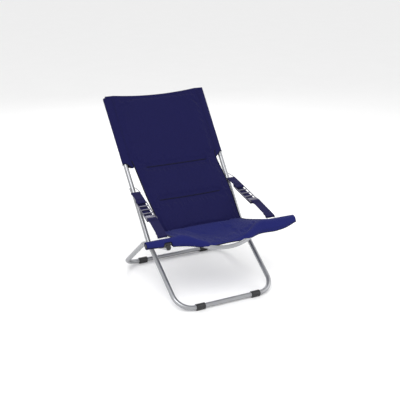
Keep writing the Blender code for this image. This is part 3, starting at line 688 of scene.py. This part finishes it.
def swell(obj, fill, limit=0.004):
    """Fills a pad by simulation: its sewn lines are pinned and pressure rounds the rest, up to a limit."""
    rest = np.empty(len(obj.data.vertices) * 3)
    obj.data.vertices.foreach_get("co", rest)
    rest = rest.reshape(-1, 3)
    group = obj.vertex_groups.new(name="sewn")
    pin = np.clip(1 - fill * 2.2, 0, 1)
    for level in np.unique(np.round(pin, 1)):
        chosen = np.flatnonzero(np.round(pin, 1) == level)
        if level > 0 and len(chosen):
            group.add(chosen.tolist(), float(level), "REPLACE")
    cloth = obj.modifiers.new("swell", "CLOTH")
    cloth.settings.use_pressure = True
    cloth.settings.uniform_pressure_force = 3.0
    cloth.settings.quality = 4
    cloth.settings.shrink_min = -0.03
    cloth.settings.vertex_group_mass = "sewn"
    cloth.settings.effector_weights.gravity = 0.0
    cloth.collision_settings.use_collision = False
    scene = bpy.context.scene
    steps = scene.chair_sizes.swell_frames
    cloth.point_cache.frame_start, cloth.point_cache.frame_end = 1, steps
    for step in range(1, steps + 1):
        scene.frame_set(step)
    graph = bpy.context.evaluated_depsgraph_get()
    swollen = np.empty(len(obj.data.vertices) * 3)
    obj.evaluated_get(graph).data.vertices.foreach_get("co", swollen)
    move = swollen.reshape(-1, 3) - rest
    length = np.linalg.norm(move, axis=1, keepdims=True)
    move *= np.minimum(1.0, limit / np.maximum(length, 1e-9))
    obj.modifiers.remove(cloth)
    obj.vertex_groups.clear()
    obj.data.vertices.foreach_set("co", (rest + move).ravel())
    obj.data.update()
    scene.frame_set(1)
    return obj


def stitches(name, lines, body):
    """Rows of thread: short six-sided bars along each line, with a gap between them."""
    sizes = bpy.context.scene.chair_sizes
    pitch = sizes.stitch
    ends, ups = [], []
    for line, up in lines:
        steps = np.linalg.norm(np.diff(line, axis=0), axis=1)
        length = np.concatenate([[0], np.cumsum(steps)])
        count = max(1, int(length[-1] / pitch))
        starts = (np.arange(count) + 0.14) * length[-1] / count
        finish = starts + 0.72 * length[-1] / count
        at = lambda s: np.stack([np.interp(s, length, line[:, k]) for k in range(3)], -1)
        ends.append(np.stack([at(starts), at(finish)], 1))
        up_at = np.stack([np.interp((starts + finish) / 2, length, up[:, k]) for k in range(3)], -1)
        ups.append(unit(up_at))
    ends, ups = np.concatenate(ends), np.concatenate(ups)
    along = unit(ends[:, 1] - ends[:, 0])
    side = unit(np.cross(along, ups))
    radius = 0.00042
    angles = np.arange(6) * np.pi / 3
    ring = np.cos(angles)[None, :, None] * side[:, None] + np.sin(angles)[None, :, None] * ups[:, None]
    stations = ((0.0, 0.35, 0.0), (0.2, 1.0, 0.75), (0.8, 1.0, 0.75), (1.0, 0.35, 0.0))
    rows = []
    for share, grow, lift in stations:
        centre = ends[:, 0] + (ends[:, 1] - ends[:, 0]) * share + ups * (radius * lift)
        rows.append(centre[:, None] + ring * radius * grow)
    points = np.stack(rows, 1)
    each = len(stations) * 6
    face, place = grid_faces(len(stations), 6, wrap_columns=True)
    faces = (face[None] + (np.arange(len(points)) * each)[:, None, None]).reshape(-1, 4)
    uv = np.tile(place.reshape(-1, 2) * 0.0004, (len(points), 1))
    obj = add_piece(name, points, faces.tolist(), uv, finish_of("navy_thread"))
    if body == "back":
        hang_slack(obj)
    else:
        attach(obj, body)
    return obj


# ---------------------------------------------------------------- operators

class CHAIR_OT_tubes(bpy.types.Operator):
    """Sweeps the two bent frames and the bow bar as smooth round tube."""

    bl_idname = "chair.tubes"
    bl_label = "Frame tubes"

    def execute(self, context):
        sides = context.scene.chair_sizes.tube_sides
        steel = finish_of("satin_tube")
        radii = [KINK_RADIUS, CORNER_RADIUS, CORNER_RADIUS, KINK_RADIUS]
        front_bar, rear_bar = PIVOT[1] - FRONT_REACH, PIVOT[1] + REAR_REACH
        back = frame_corners(BACK_DIR, back_point(BACK_LENGTH, 1.0), BACK_HALF, front_bar, FRONT_BAR_HALF)
        seat = frame_corners(SEAT_DIR, seat_point(SEAT_LENGTH, 1.0), SEAT_HALF, rear_bar, SEAT_HALF)
        span = np.concatenate([[-BOW_HALF], np.linspace(-0.2335, 0.2335, 97), [BOW_HALF]])
        for name, path, radius, reference, body in (
            ("back_frame_tube", rounded_path(back, radii), TUBE_R, (0.0, -0.64, 0.77), "back"),
            ("seat_frame_tube", rounded_path(seat, radii), TUBE_R, (0.0, 0.47, 0.88), "seat"),
            ("bow_bar_tube", bow_centre(span), BOW_R, (0.0, 0.3, 1.0), "seat"),
        ):
            piece = tube(name, path, radius, reference, steel, sides)
            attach(piece, body)
            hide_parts(name.replace("_tube", ""))
        return {"FINISHED"}


def plug_profile(bore, rim, height, stem):
    """A plug's section: a stem in the bore, then a softly rounded rim over the tube's end."""
    dome = fillet((rim, height * 0.45), (rim * 0.62, height))
    inside = [(0.0, -stem), (bore * 0.9, -stem), (bore, -stem * 0.8), (bore, SEAT_GAP)]
    return [*inside, (rim, SEAT_GAP), *dome, (0.0, height)]


class CHAIR_OT_mouldings(bpy.types.Operator):
    """Turns the plugs and spacers, and shapes the feet with their ribbed grip."""

    bl_idname = "chair.mouldings"
    bl_label = "Plastic mouldings"

    def foot(self, name, centre):
        """A sleeve with softly rolled ends and five shallow grooves, flattened under the bar."""
        sides = 72
        along = np.linspace(-FOOT_HALF, FOOT_HALF, 61)
        share = np.clip((np.abs(along) - 0.0205) / 0.002, 0, 1)
        rolled = 0.0016 * (1 - np.sqrt(np.clip(1 - share**2, 0, 1)))
        groove = 0.0007 * sum(np.exp(-((np.abs(along) - d) / 0.0009) ** 2) for d in (0.0, 0.006, 0.012))
        outer = BAR_HEIGHT - rolled - groove
        angles = np.arange(sides) * 2 * np.pi / sides
        y, z = outer[:, None] * np.cos(angles), outer[:, None] * np.sin(angles)
        padded = (np.abs(y) < 0.0081) & (z < 0)
        z = np.where(padded, -(BAR_HEIGHT - rolled[:, None]), z)
        shell = np.stack([np.repeat(along[:, None], sides, 1), y, z], -1)
        bore = TUBE_R + SEAT_GAP
        ends = [
            np.stack([np.full(sides, end), bore * np.cos(angles), bore * np.sin(angles)], -1)
            for end in (FOOT_HALF, -FOOT_HALF)
        ]
        grid = np.concatenate([shell, np.stack(ends)]) + centre
        black = finish_of("black_moulding")
        return outward(grid_piece(name, grid, black, wrap_rows=True, wrap_columns=True))

    def execute(self, context):
        black = finish_of("black_moulding")
        for label, side in SIDES.items():
            top = back_point(BACK_LENGTH, side)
            tube_bore = TUBE_R * math.cos(math.pi / 12) - 0.0015
            bow_bore = BOW_R * math.cos(math.pi / 12) - 0.0015
            for kind, place, axis, bore, rim, body in (
                ("back_plug_", top, top - back_point(0.0, side), tube_bore, 0.0112, "back"),
                ("seat_plug_", seat_point(SEAT_LENGTH, side), SEAT_DIR, tube_bore, 0.0112, "seat"),
                ("horn_plug_", bow_centre(side * BOW_HALF), side * X, bow_bore, 0.0092, "seat"),
            ):
                profile = plug_profile(bore, rim, 0.0035, 0.0065)
                piece = turned(kind + "cap_" + label, profile, place, axis, black)
                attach(piece, body)
                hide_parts(kind + label)
            low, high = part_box("pivot_spacer_" + label)
            centre, half = (np.array(low) + np.array(high)) / 2, (high.x - low.x) / 2
            rim = 0.009
            profile = [(0.0035, -half), (rim - 0.0005, -half), (rim, -half + 0.0005), (rim, half - 0.0005),
                       (rim - 0.0005, half), (0.0035, half)]
            piece = turned("spacer_ring_" + label, profile, centre, X, black, ring=True)
            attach(piece, "back")
            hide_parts("pivot_spacer_" + label)
            for kind, body in (("front_foot_", "back"), ("rear_foot_", "seat")):
                low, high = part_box(kind + label)
                centre = (np.array(low) + np.array(high)) / 2
                piece = self.foot(kind + "grip_" + label, np.array([centre[0], centre[1], BAR_HEIGHT]))
                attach(piece, body)
                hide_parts(kind + label)
        return {"FINISHED"}


class CHAIR_OT_fasteners(bpy.types.Operator):
    """Turns the domed rivets and softens the edges of the buckles and saddles."""

    bl_idname = "chair.fasteners"
    bl_label = "Rivets and buckles"

    def rivet(self, label, kind, shank, head, height, axis, body):
        low, high = (np.array(c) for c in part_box(kind + label))
        centre = (low + high) / 2
        corners = np.abs(high - low)
        reach = corners[0] / 2 if abs(axis[0]) > 0.5 else (BOW_LEVEL + TUBE_R + BOW_R) / 2 + SEAT_GAP + height
        seat = reach - height
        arc = np.linspace(0, 1.45, 8)
        dome = [(head * math.cos(a), seat + height * (0.25 + 0.75 * math.sin(a))) for a in arc]
        upper = [(shank, seat), (head * 0.96, seat), *dome, (0.0, reach)]
        profile = [(r, -h) for r, h in reversed(upper)] + upper
        piece = turned(kind + "head_" + label, profile, centre, axis, finish_of("bright_zinc"))
        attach(piece, body)
        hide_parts(kind + label)

    def softened(self, node, body, finish, slot, width):
        """A copy of a stamped or moulded node with its sharp edges rounded."""
        copy = frame["nodes"][node].copy()
        copy.data = frame["nodes"][node].data.copy()
        copy.name = node + "_soft"
        copy.parent = None
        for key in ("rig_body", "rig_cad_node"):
            del copy[key]
        bpy.context.scene.collection.objects.link(copy)
        outward(copy)
        copy.data.materials.clear()
        copy.data.materials.append(finish_of(finish))
        bevel = copy.modifiers.new("edge", "BEVEL")
        bevel.width, bevel.segments, bevel.limit_method = width, 2, "ANGLE"
        bevel.angle_limit = math.radians(35)
        copy.data.shade_smooth()
        copy.data.set_sharp_from_angle(angle=math.radians(50))
        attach(copy, body)
        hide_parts(node)

    def execute(self, context):
        for label in SIDES:
            self.rivet(label, "pivot_rivet_", 0.003, 0.006, 0.003, X, "back")
            self.rivet(label, "bow_rivet_", 0.0025, 0.005, 0.0012, SEAT_UP, "seat")
            self.softened("ladder_" + label, label + "_upper_arm", "buckle_plate", "ladder_steel", 0.0005)
            self.softened("hook_" + label, label + "_lower_arm", "buckle_plate", "ladder_steel", 0.0004)
            self.softened("bow_saddle_" + label, "seat", "black_moulding", "black_plastic", 0.0006)
        return {"FINISHED"}


def band_section(half, thin, columns):
    """A webbing's section: flat faces of half width "half" and round edges of radius "thin"."""
    angles = np.linspace(-np.pi / 2, np.pi / 2, 5)
    right = np.stack([half + thin * np.cos(angles), thin * np.sin(angles)], -1)
    flat = np.linspace(half, -half, columns)[1:-1]
    upper = np.stack([flat, np.full_like(flat, thin)], -1)
    lower = np.stack([-flat, np.full_like(flat, -thin)], -1)
    return np.concatenate([right, upper, right[::-1] * (-1, 1), lower])


def mirrored(corner, about):
    """A corner on the other side of a point, across X."""
    return corner + (-2 * (corner - about) @ X) * X


class CHAIR_OT_arms(bpy.types.Operator):
    """Makes the wire loops and the webbing straps of both arms."""

    bl_idname = "chair.arms"
    bl_label = "Strap arms"

    def wire(self, name, node, pin, bar, half, body):
        """A closed wire loop between its pin in the tube and its wider bar."""
        narrow = TUBE_R + 0.002 + 0.0015
        at_pin, at_bar = pin + narrow * X, bar + half * X
        loop = [pin, at_pin, at_bar, mirrored(at_bar, bar), mirrored(at_pin, pin)]
        path = rounded_path(loop + [pin], [0.004, 0.0035, 0.0035, 0.004], math.radians(12))
        middle = unit(np.cross(X, unit(bar - pin)))
        piece = tube(name, path[:-1], 0.002, middle, finish_of("bright_zinc"), 16, closed=True)
        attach(piece, body)
        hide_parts(node)

    def strap(self, name, node, low_bar, high_bar, place, body):
        """Webbing round two bars, straight between them on the outer face and sewn back at each end."""
        sizes = bpy.context.scene.chair_sizes
        half, thin = sizes.strap_width / 2, sizes.strap_thickness / 2

        def turn(bar, heading):
            angle = np.linspace(0, np.pi, 15)
            out, up = heading * BAR_WRAP * np.sin(angle), BAR_WRAP * np.cos(angle)
            arc = np.stack([bar[0] + out, bar[1] + up], -1)
            under = bar[1] + BAR_WRAP - 2 * thin - 0.00045
            t = np.linspace(0, 1, 8)[1:, None]
            knee = np.array([bar[0] - heading * 0.011, under])
            slope = arc[-1] + (knee - arc[-1]) * np.concatenate([t, smooth(t)], 1)
            tail = np.stack([np.linspace(knee[0], bar[0] - heading * 0.026, 8)[1:], np.full(7, under)], -1)
            return np.concatenate([arc, slope, tail])

        start, end = turn(low_bar, -1.0)[::-1], turn(high_bar, 1.0)
        middle = start[-1] + (end[0] - start[-1]) * np.linspace(0, 1, 24)[1:-1, None]
        line = np.concatenate([start, middle, end])
        ahead = unit(np.gradient(line, axis=0))
        normal = np.stack([-ahead[:, 1], ahead[:, 0]], -1)
        section = band_section(half - thin, thin, 22)
        e = line[:, None, 0] + normal[:, None, 0] * section[None, :, 1]
        n = line[:, None, 1] + normal[:, None, 1] * section[None, :, 1]
        x = np.broadcast_to(section[None, :, 0], e.shape)
        grid, webbing = place(x, e, n), finish_of("navy_webbing")
        piece = outward(grid_piece(name, grid, webbing, wrap_columns=True, caps=True, uv=(0.0019, 0.0016)))
        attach(piece, body)
        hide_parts(node)
        rows = []
        inner = half - 0.004
        zero, one = np.array(0.0), np.array(1.0)
        lift = place(zero, zero, one) - place(zero, zero, zero)
        for bar, heading in ((low_bar, -1.0), (high_bar, 1.0)):
            near, far = bar[0] - heading * 0.0105, bar[0] - heading * 0.0235
            top = bar[1] + BAR_WRAP + thin
            box = [(-inner, near), (inner, near), (inner, far), (-inner, far), (-inner, near)]
            cross = [box[0], box[2]], [box[1], box[3]]
            for run in (box, *cross):
                pts = np.array([place(np.array(px), np.array(pe), np.array(top)) for px, pe in run])
                rows.append((pts, np.tile(lift, (len(pts), 1))))
        thread = stitches(name + "_stitches", rows, body)

    def backing(self, name, place, body):
        """The upper strap's tail behind the ladder: a band that dips away from the strap's end."""
        half, thin = bpy.context.scene.chair_sizes.strap_width / 2 - 0.001, 0.0010
        along = np.concatenate([np.linspace(0.106, 0.130, 12), np.linspace(0.134, 0.270, 40)])
        depth = -0.0052 - 0.0036 * smooth((along - 0.106) / 0.024)
        section = band_section(half, thin, 20)
        x, e = np.broadcast_arrays(section[None, :, 0], along[:, None])
        grid = place(x, e, depth[:, None] + section[None, :, 1])
        webbing = finish_of("navy_webbing")
        piece = outward(grid_piece(name, grid, webbing, wrap_columns=True, caps=True, uv=(0.0019, 0.003)))
        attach(piece, body)

    def execute(self, context):
        for label, side in SIDES.items():
            pin = back_point(UPPER_PIN, side)
            low_pin = seat_point(LOWER_PIN, side)
            low_bar = PIVOT + side * SEAT_HALF * X + LOWER_BAR
            run = np.linalg.norm((low_bar - pin)[1:])
            along = (low_bar - pin) / run
            flat = np.array([0.0, *along[1:]])
            outer = np.array([0.0, flat[2], -flat[1]])

            def place(x, e, n, pin=pin, along=along, outer=outer):
                return pin + x[..., None] * X + e[..., None] * along + n[..., None] * outer

            upper_arm, lower_arm = label + "_upper_arm", label + "_lower_arm"
            loop_bar = pin + along * LOOP_REACH
            self.wire("upper_loop_" + label, "upper_stirrup_" + label, pin, loop_bar, STIRRUP_HALF, upper_arm)
            self.wire("lower_loop_" + label, "lower_stirrup_" + label, low_pin, low_bar, STIRRUP_HALF,
                      label + "_lower_stirrup")
            low, high = np.array([LOOP_REACH, 0.0]), np.array([LADDER_START, 0.0])
            self.strap("upper_webbing_" + label, "upper_strap_" + label, low, high, place, upper_arm)
            self.backing("ladder_backing_" + label, place, upper_arm)
            hook_bar = LADDER_START + HOOK_RUNG * LADDER_PITCH + HOOK_DROP
            low, high = np.array([hook_bar, 0.0046]), np.array([run, 0.0])
            self.strap("lower_webbing_" + label, "lower_strap_" + label, low, high, place, lower_arm)
        return {"FINISHED"}


class CHAIR_OT_back_cloth(bpy.types.Operator):
    """Makes the quilted back pad, the sleeves round the tubes and the bound edges."""

    bl_idname = "chair.back_cloth"
    bl_label = "Back cloth"

    def sleeve(self, label, side):
        """One sleeve: from its front seam over the tube, round its outside and back to the rear seam.

        In the plane square to the tube the cloth follows two tangent lines and an arc 1.7 mm outside
        the tube.
        """
        radius = TUBE_R + 0.0017
        front, rear = np.array([-SLEEVE_INSET, 0.0150]), np.array([-SLEEVE_INSET, 0.0092])

        def tangent(point, sign):
            return math.atan2(point[1], point[0]) + sign * math.acos(radius / np.linalg.norm(point))

        start, end = tangent(front, -1.0), tangent(rear, 1.0) - 2 * math.pi
        arc = np.linspace(start, end, 41)
        arc = np.stack([radius * np.cos(arc), radius * np.sin(arc)], -1)
        lead = front + (arc[0] - front) * np.linspace(0, 1, 11)[:-1, None]
        tail = arc[-1] + (rear - arc[-1]) * np.linspace(0, 1, 11)[1:, None]
        section = np.concatenate([lead, arc, tail])
        around = np.linspace(0, 1, len(section))
        rows = np.linspace(0, 1, 90)
        v, q = np.meshgrid(rows, around, indexing="ij")
        slant = 0.028 * smooth((section[:, 0] + SLEEVE_INSET) / 0.040)
        low = SLEEVE_START + 0.004 + slant[None, :]
        distance = low + (BACK_LENGTH + 0.002 - low) * v
        crease = 0.0006 * ripple(v * 14, q * 5, 11 + int(side)) * smooth(np.minimum(q, 1 - q) * 8)
        stretch = 1 + crease / radius
        x = section[None, :, 0] * stretch
        n = section[None, :, 1] * stretch
        centre = back_point(distance, side)
        grid = centre + (side * x)[..., None] * X + n[..., None] * BACK_FRONT
        piece = grid_piece("back_sleeve_" + label, grid, finish_of("navy_cloth"), uv=(0.0018, 0.0042))
        if side < 0:
            piece.data.flip_normals()
        thick(piece, 0.0014)
        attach(piece, "back")
        return grid

    def execute(self, context):
        cloth, binding = finish_of("navy_cloth"), finish_of("navy_binding")
        seams = back_seams()
        fill = lambda u, v: quilt(u, v, seams, 0.035)
        pad, full = pad_piece("back_pad", back_surface, 150, 96, fill, cloth, (0.0046, 0.0047))
        swell(pad, full)
        finer(pad)
        hang_slack(pad)
        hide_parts("back_sling")

        radius = context.scene.chair_sizes.cord_radius
        seam_rows = []
        for label, side in SIDES.items():
            grid = self.sleeve(label, side)
            hem = grid[0, 4:-4]
            edge = tube("sleeve_hem_" + label, hem, radius * 0.62, BACK_DIR, binding, 10)
            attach(edge, "back")
            for inset in (0.0030, 0.0065):
                row = grid[4:-2, 1] + X * side * inset + BACK_FRONT * 0.0009
                seam_rows.append((row, np.tile(BACK_FRONT, (len(row), 1))))
            v = np.linspace(0.0, 0.535, 90)
            line = back_surface(np.full_like(v, side), v)
            edge = tube("back_edge_" + label, line, radius, BACK_FRONT, binding, 12)
            hang_slack(edge)

        across = np.linspace(-1, 1, 80)
        top = back_surface(across, np.ones_like(across))
        ends = [back_point(BACK_LENGTH + 0.002, s) + BACK_FRONT * 0.0145 + s * 0.006 * X for s in (-1.0, 1.0)]
        line = np.vstack([ends[0][None], top[1:-1], ends[1][None]])
        hem = grid_piece("top_hem", carried(line, circle(1.0, 16) * (0.0052, 0.0028), BACK_DIR), cloth,
                         wrap_columns=True, caps=True, uv=(0.0012, 0.0065))
        outward(hem)
        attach(hem, "back")

        # Painted shadow: a thin tube in the near-black binding finish lies along each quilt seam's groove and
        # paints the seam's shadow line; no cord is sewn there.
        for seam in seams:
            u = np.linspace(-0.74, 0.74, 120)
            seam_shadow_path = back_surface(u, np.full_like(u, seam)) + BACK_FRONT * 0.0018
            line = tube(f"painted_seam_shadow_{seams.index(seam) + 1}", seam_shadow_path, 0.0019, BACK_FRONT, binding, 10)
            hang_slack(line)
            for shift in (-0.0065, 0.0065):
                middle = back_surface(u, np.full_like(u, seam + shift))
                lift = context.scene.chair_sizes.edge / 2 + 0.0001
                seam_rows.append((middle + BACK_FRONT * lift, np.tile(BACK_FRONT, (len(u), 1))))
        stitches("back_stitches", seam_rows, "back")
        return {"FINISHED"}


class CHAIR_OT_seat_cloth(bpy.types.Operator):
    """Makes the seat pad, the lip over the bow, the pockets round its horns and the bound edges."""

    bl_idname = "chair.seat_cloth"
    bl_label = "Seat cloth"

    def lip_edge(self, x):
        """The hem below and in front of the bow, as an angle and a radius about the bow's centre.

        It hangs over the seat tube's end at +X and leaves it open at -X.
        """
        a = np.abs(x)
        forward = -0.010 + 0.026 * smooth(a / 0.20)
        bow = bow_centre(x)
        hang = 0.2930 + 0.11 * np.maximum(a - 0.1, 0) + 0.004 * (1 - smooth(a / 0.1))
        near = smooth(1 - (np.abs(a - SEAT_HALF) - 0.014) / 0.010)
        over = smooth(1 - (np.abs(a - SEAT_HALF) - 0.012) / 0.130) * (x > 0)
        notch = near * (x < 0)
        height = (hang - bow[..., 2]) * (1 - notch) + 0.0035 * notch - 0.010 * over
        forward = forward * (1 - notch) + 0.0125 * notch + 0.022 * over
        return np.arctan2(height, forward), np.hypot(height, forward)

    def rear_edge(self, x):
        """The pocket's seam on top, behind the bow, as an angle and a radius about the bow's centre."""
        back = pocket_rear(x)
        bow = bow_centre(x)
        height = seat_height(x, bow[..., 1] + back) - bow[..., 2] + 0.0012
        return np.arctan2(height, -back), np.hypot(height, back)

    def wrapped(self, x, start, end, start_r, end_r, q):
        """Points round the bow: the angle runs from start to end, the radius dips to the pocket's own."""
        angle = start + (end - start) * q
        near = POCKET_R + 0.0035 * (1 - smooth(np.abs(x) / 0.2))
        radius = near + (start_r - near) * (1 - q) ** 2 + (end_r - near) * q**2
        radius = radius + 0.0006 * ripple(x * 55, q * 3, 5) * smooth(np.minimum(q, 1 - q) * 6)
        around = np.stack([np.zeros_like(x), -radius * np.cos(angle), radius * np.sin(angle)], -1)
        return bow_centre(x) + around

    def execute(self, context):
        cloth, binding = finish_of("blue_cloth"), finish_of("navy_binding")
        fill = lambda u, v: quilt(u, v, (), 0.045, length=0.26)
        pad, full = pad_piece("seat_pad", seat_surface, 84, 100, fill, cloth, (0.0046, 0.0046))
        swell(pad, full, 0.003)
        finer(pad)
        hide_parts("seat_sling")
        bends = [pad]

        reach = BOW_HALF + 0.0030
        q, x = np.meshgrid(np.linspace(0, 1, 34), np.linspace(-reach, reach, 221), indexing="ij")
        rear, rear_r = self.rear_edge(x)
        lip, lip_r = self.lip_edge(x)
        grid = self.wrapped(x, rear, lip, rear_r, lip_r, q)
        piece = grid_piece("front_lip", grid, cloth, uv=(0.0034, 0.0016))
        piece.data.flip_normals()
        thick(piece, 0.0018)
        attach(piece, "seat")

        radius = context.scene.chair_sizes.cord_radius
        hem = tube("lip_hem", grid[-1], radius * 0.75, Z, binding, 10)
        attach(hem, "seat")
        front_row = grid[-4][3:-3] + np.array([0, -0.0012, 0.0004])
        rear_row = grid[1][12:-12] + np.array([0, 0, 0.0012])
        rows = [(front_row, np.tile([0.0, -0.9, 0.45], (len(front_row), 1))),
                (rear_row, np.tile(Z, (len(rear_row), 1)))]

        for label, side in SIDES.items():
            parts = []
            for low, high in ((0.196, SEAT_HALF - 0.0195), (SEAT_HALF + 0.0195, reach)):
                q, x = np.meshgrid(np.linspace(0, 1, 26), np.linspace(low, high, 24) * side, indexing="ij")
                rear, rear_r = self.rear_edge(x)
                lip, lip_r = self.lip_edge(x)
                part = self.wrapped(x, lip, rear - 2 * np.pi, lip_r, rear_r, q)
                made = grid_piece("pocket", part, cloth, uv=(0.0034, 0.0016))
                if side > 0:
                    made.data.flip_normals()
                parts.append(made)
            pocket = thick(joined("horn_pocket_" + label, parts), 0.0014)
            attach(pocket, "seat")

            v = np.linspace(0.0, 1.0, 70)
            line = seat_surface(np.full_like(v, side), v)
            edge = tube("seat_edge_" + label, line, radius, Z, binding, 12)
            bends.append(edge)

        for piece in bends:
            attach(piece, "seat")
        stitches("seat_stitches", rows, "seat")
        return {"FINISHED"}


class CHAIR_OT_studio(bpy.types.Operator):
    """Adds the pale floor, the soft lights and the camera."""

    bl_idname = "chair.studio"
    bl_label = "Studio"

    def light(self, name, place, target, size, power):
        data = bpy.data.lights.new(name, "AREA")
        data.shape, data.size, data.energy = "DISK", size, power
        lamp = bpy.data.objects.new(name, data)
        lamp.location = place
        lamp.rotation_euler = (Vector(target) - Vector(place)).to_track_quat("-Z", "Y").to_euler()
        bpy.context.scene.collection.objects.link(lamp)

    def execute(self, context):
        scene = context.scene
        world = bpy.data.worlds.new("studio")
        world.use_nodes = True
        world.node_tree.nodes["Background"].inputs["Color"].default_value = (1.0, 1.0, 1.0, 1.0)
        world.node_tree.nodes["Background"].inputs["Strength"].default_value = 0.9
        scene.world = world
        x, y = np.meshgrid(np.linspace(-30, 30, 3), np.linspace(-30, 30, 3))
        floor = grid_piece("studio_floor", np.stack([x, y, np.full_like(x, -0.0005)], -1), None)
        pale = Finish("pale_floor")
        grain = pale.noise(pale.objects(), 3.0)
        pale.feed("Base Color", pale.blend(grain, (0.93, 0.93, 0.93, 1.0), (0.96, 0.96, 0.96, 1.0)))
        pale.shader.inputs["Roughness"].default_value = 0.8
        floor.data.materials.append(pale.material)
        self.light("key", (-1.6, -2.2, 3.2), (0, 0, 0.4), 2.2, 75)
        self.light("fill", (2.8, -1.6, 1.6), (0, 0, 0.4), 2.5, 22)
        self.light("rim", (0.8, 2.8, 2.4), (0, 0, 0.5), 1.6, 30)

        azimuth, elevation, distance = math.radians(-26.87), math.radians(19.44), 3.592
        target = Vector((0.0174, PIVOT[1], 0.3929))
        data = bpy.data.cameras.new("camera")
        data.sensor_width, data.lens = 36.0, 68.13
        data.clip_end = 200
        camera = bpy.data.objects.new("camera", data)
        level = math.cos(elevation)
        way = Vector((math.sin(azimuth) * level, -math.cos(azimuth) * level, math.sin(elevation)))
        camera.location = target + way * distance
        camera.rotation_euler = (-way).to_track_quat("-Z", "Y").to_euler()
        scene.collection.objects.link(camera)
        scene.camera = camera
        scene.view_settings.view_transform = "Standard"
        return {"FINISHED"}


class CHAIR_PT_maker(bpy.types.Panel):
    """Lists the chair's pieces and their sizes and colours."""

    bl_label = "Beach Chair"
    bl_idname = "CHAIR_PT_maker"
    bl_space_type = "VIEW_3D"
    bl_region_type = "UI"
    bl_category = "Beach Chair"

    def draw(self, context):
        for step in STEPS:
            self.layout.operator(step.bl_idname)
        for group in (context.scene.chair_sizes, context.scene.chair_looks):
            for name in group.__annotations__:
                self.layout.prop(group, name)


STEPS = (CHAIR_OT_studio, CHAIR_OT_tubes, CHAIR_OT_mouldings, CHAIR_OT_fasteners, CHAIR_OT_arms,
         CHAIR_OT_back_cloth, CHAIR_OT_seat_cloth)
CLASSES = (ChairSizes, ChairLooks, *STEPS, CHAIR_PT_maker)


def register():
    for cls in CLASSES:
        bpy.utils.register_class(cls)
    bpy.types.Scene.chair_sizes = PointerProperty(type=ChairSizes)
    bpy.types.Scene.chair_looks = PointerProperty(type=ChairLooks)


def unregister():
    del bpy.types.Scene.chair_looks
    del bpy.types.Scene.chair_sizes
    for cls in reversed(CLASSES):
        bpy.utils.unregister_class(cls)


def main():
    register()
    for step in STEPS:
        group, name = step.bl_idname.split(".")
        if getattr(getattr(bpy.ops, group), name)() != {"FINISHED"}:
            raise RuntimeError(f"{step.bl_idname} did not finish")
    bpy.context.view_layer.update()


if __name__ == "__main__":
    main()
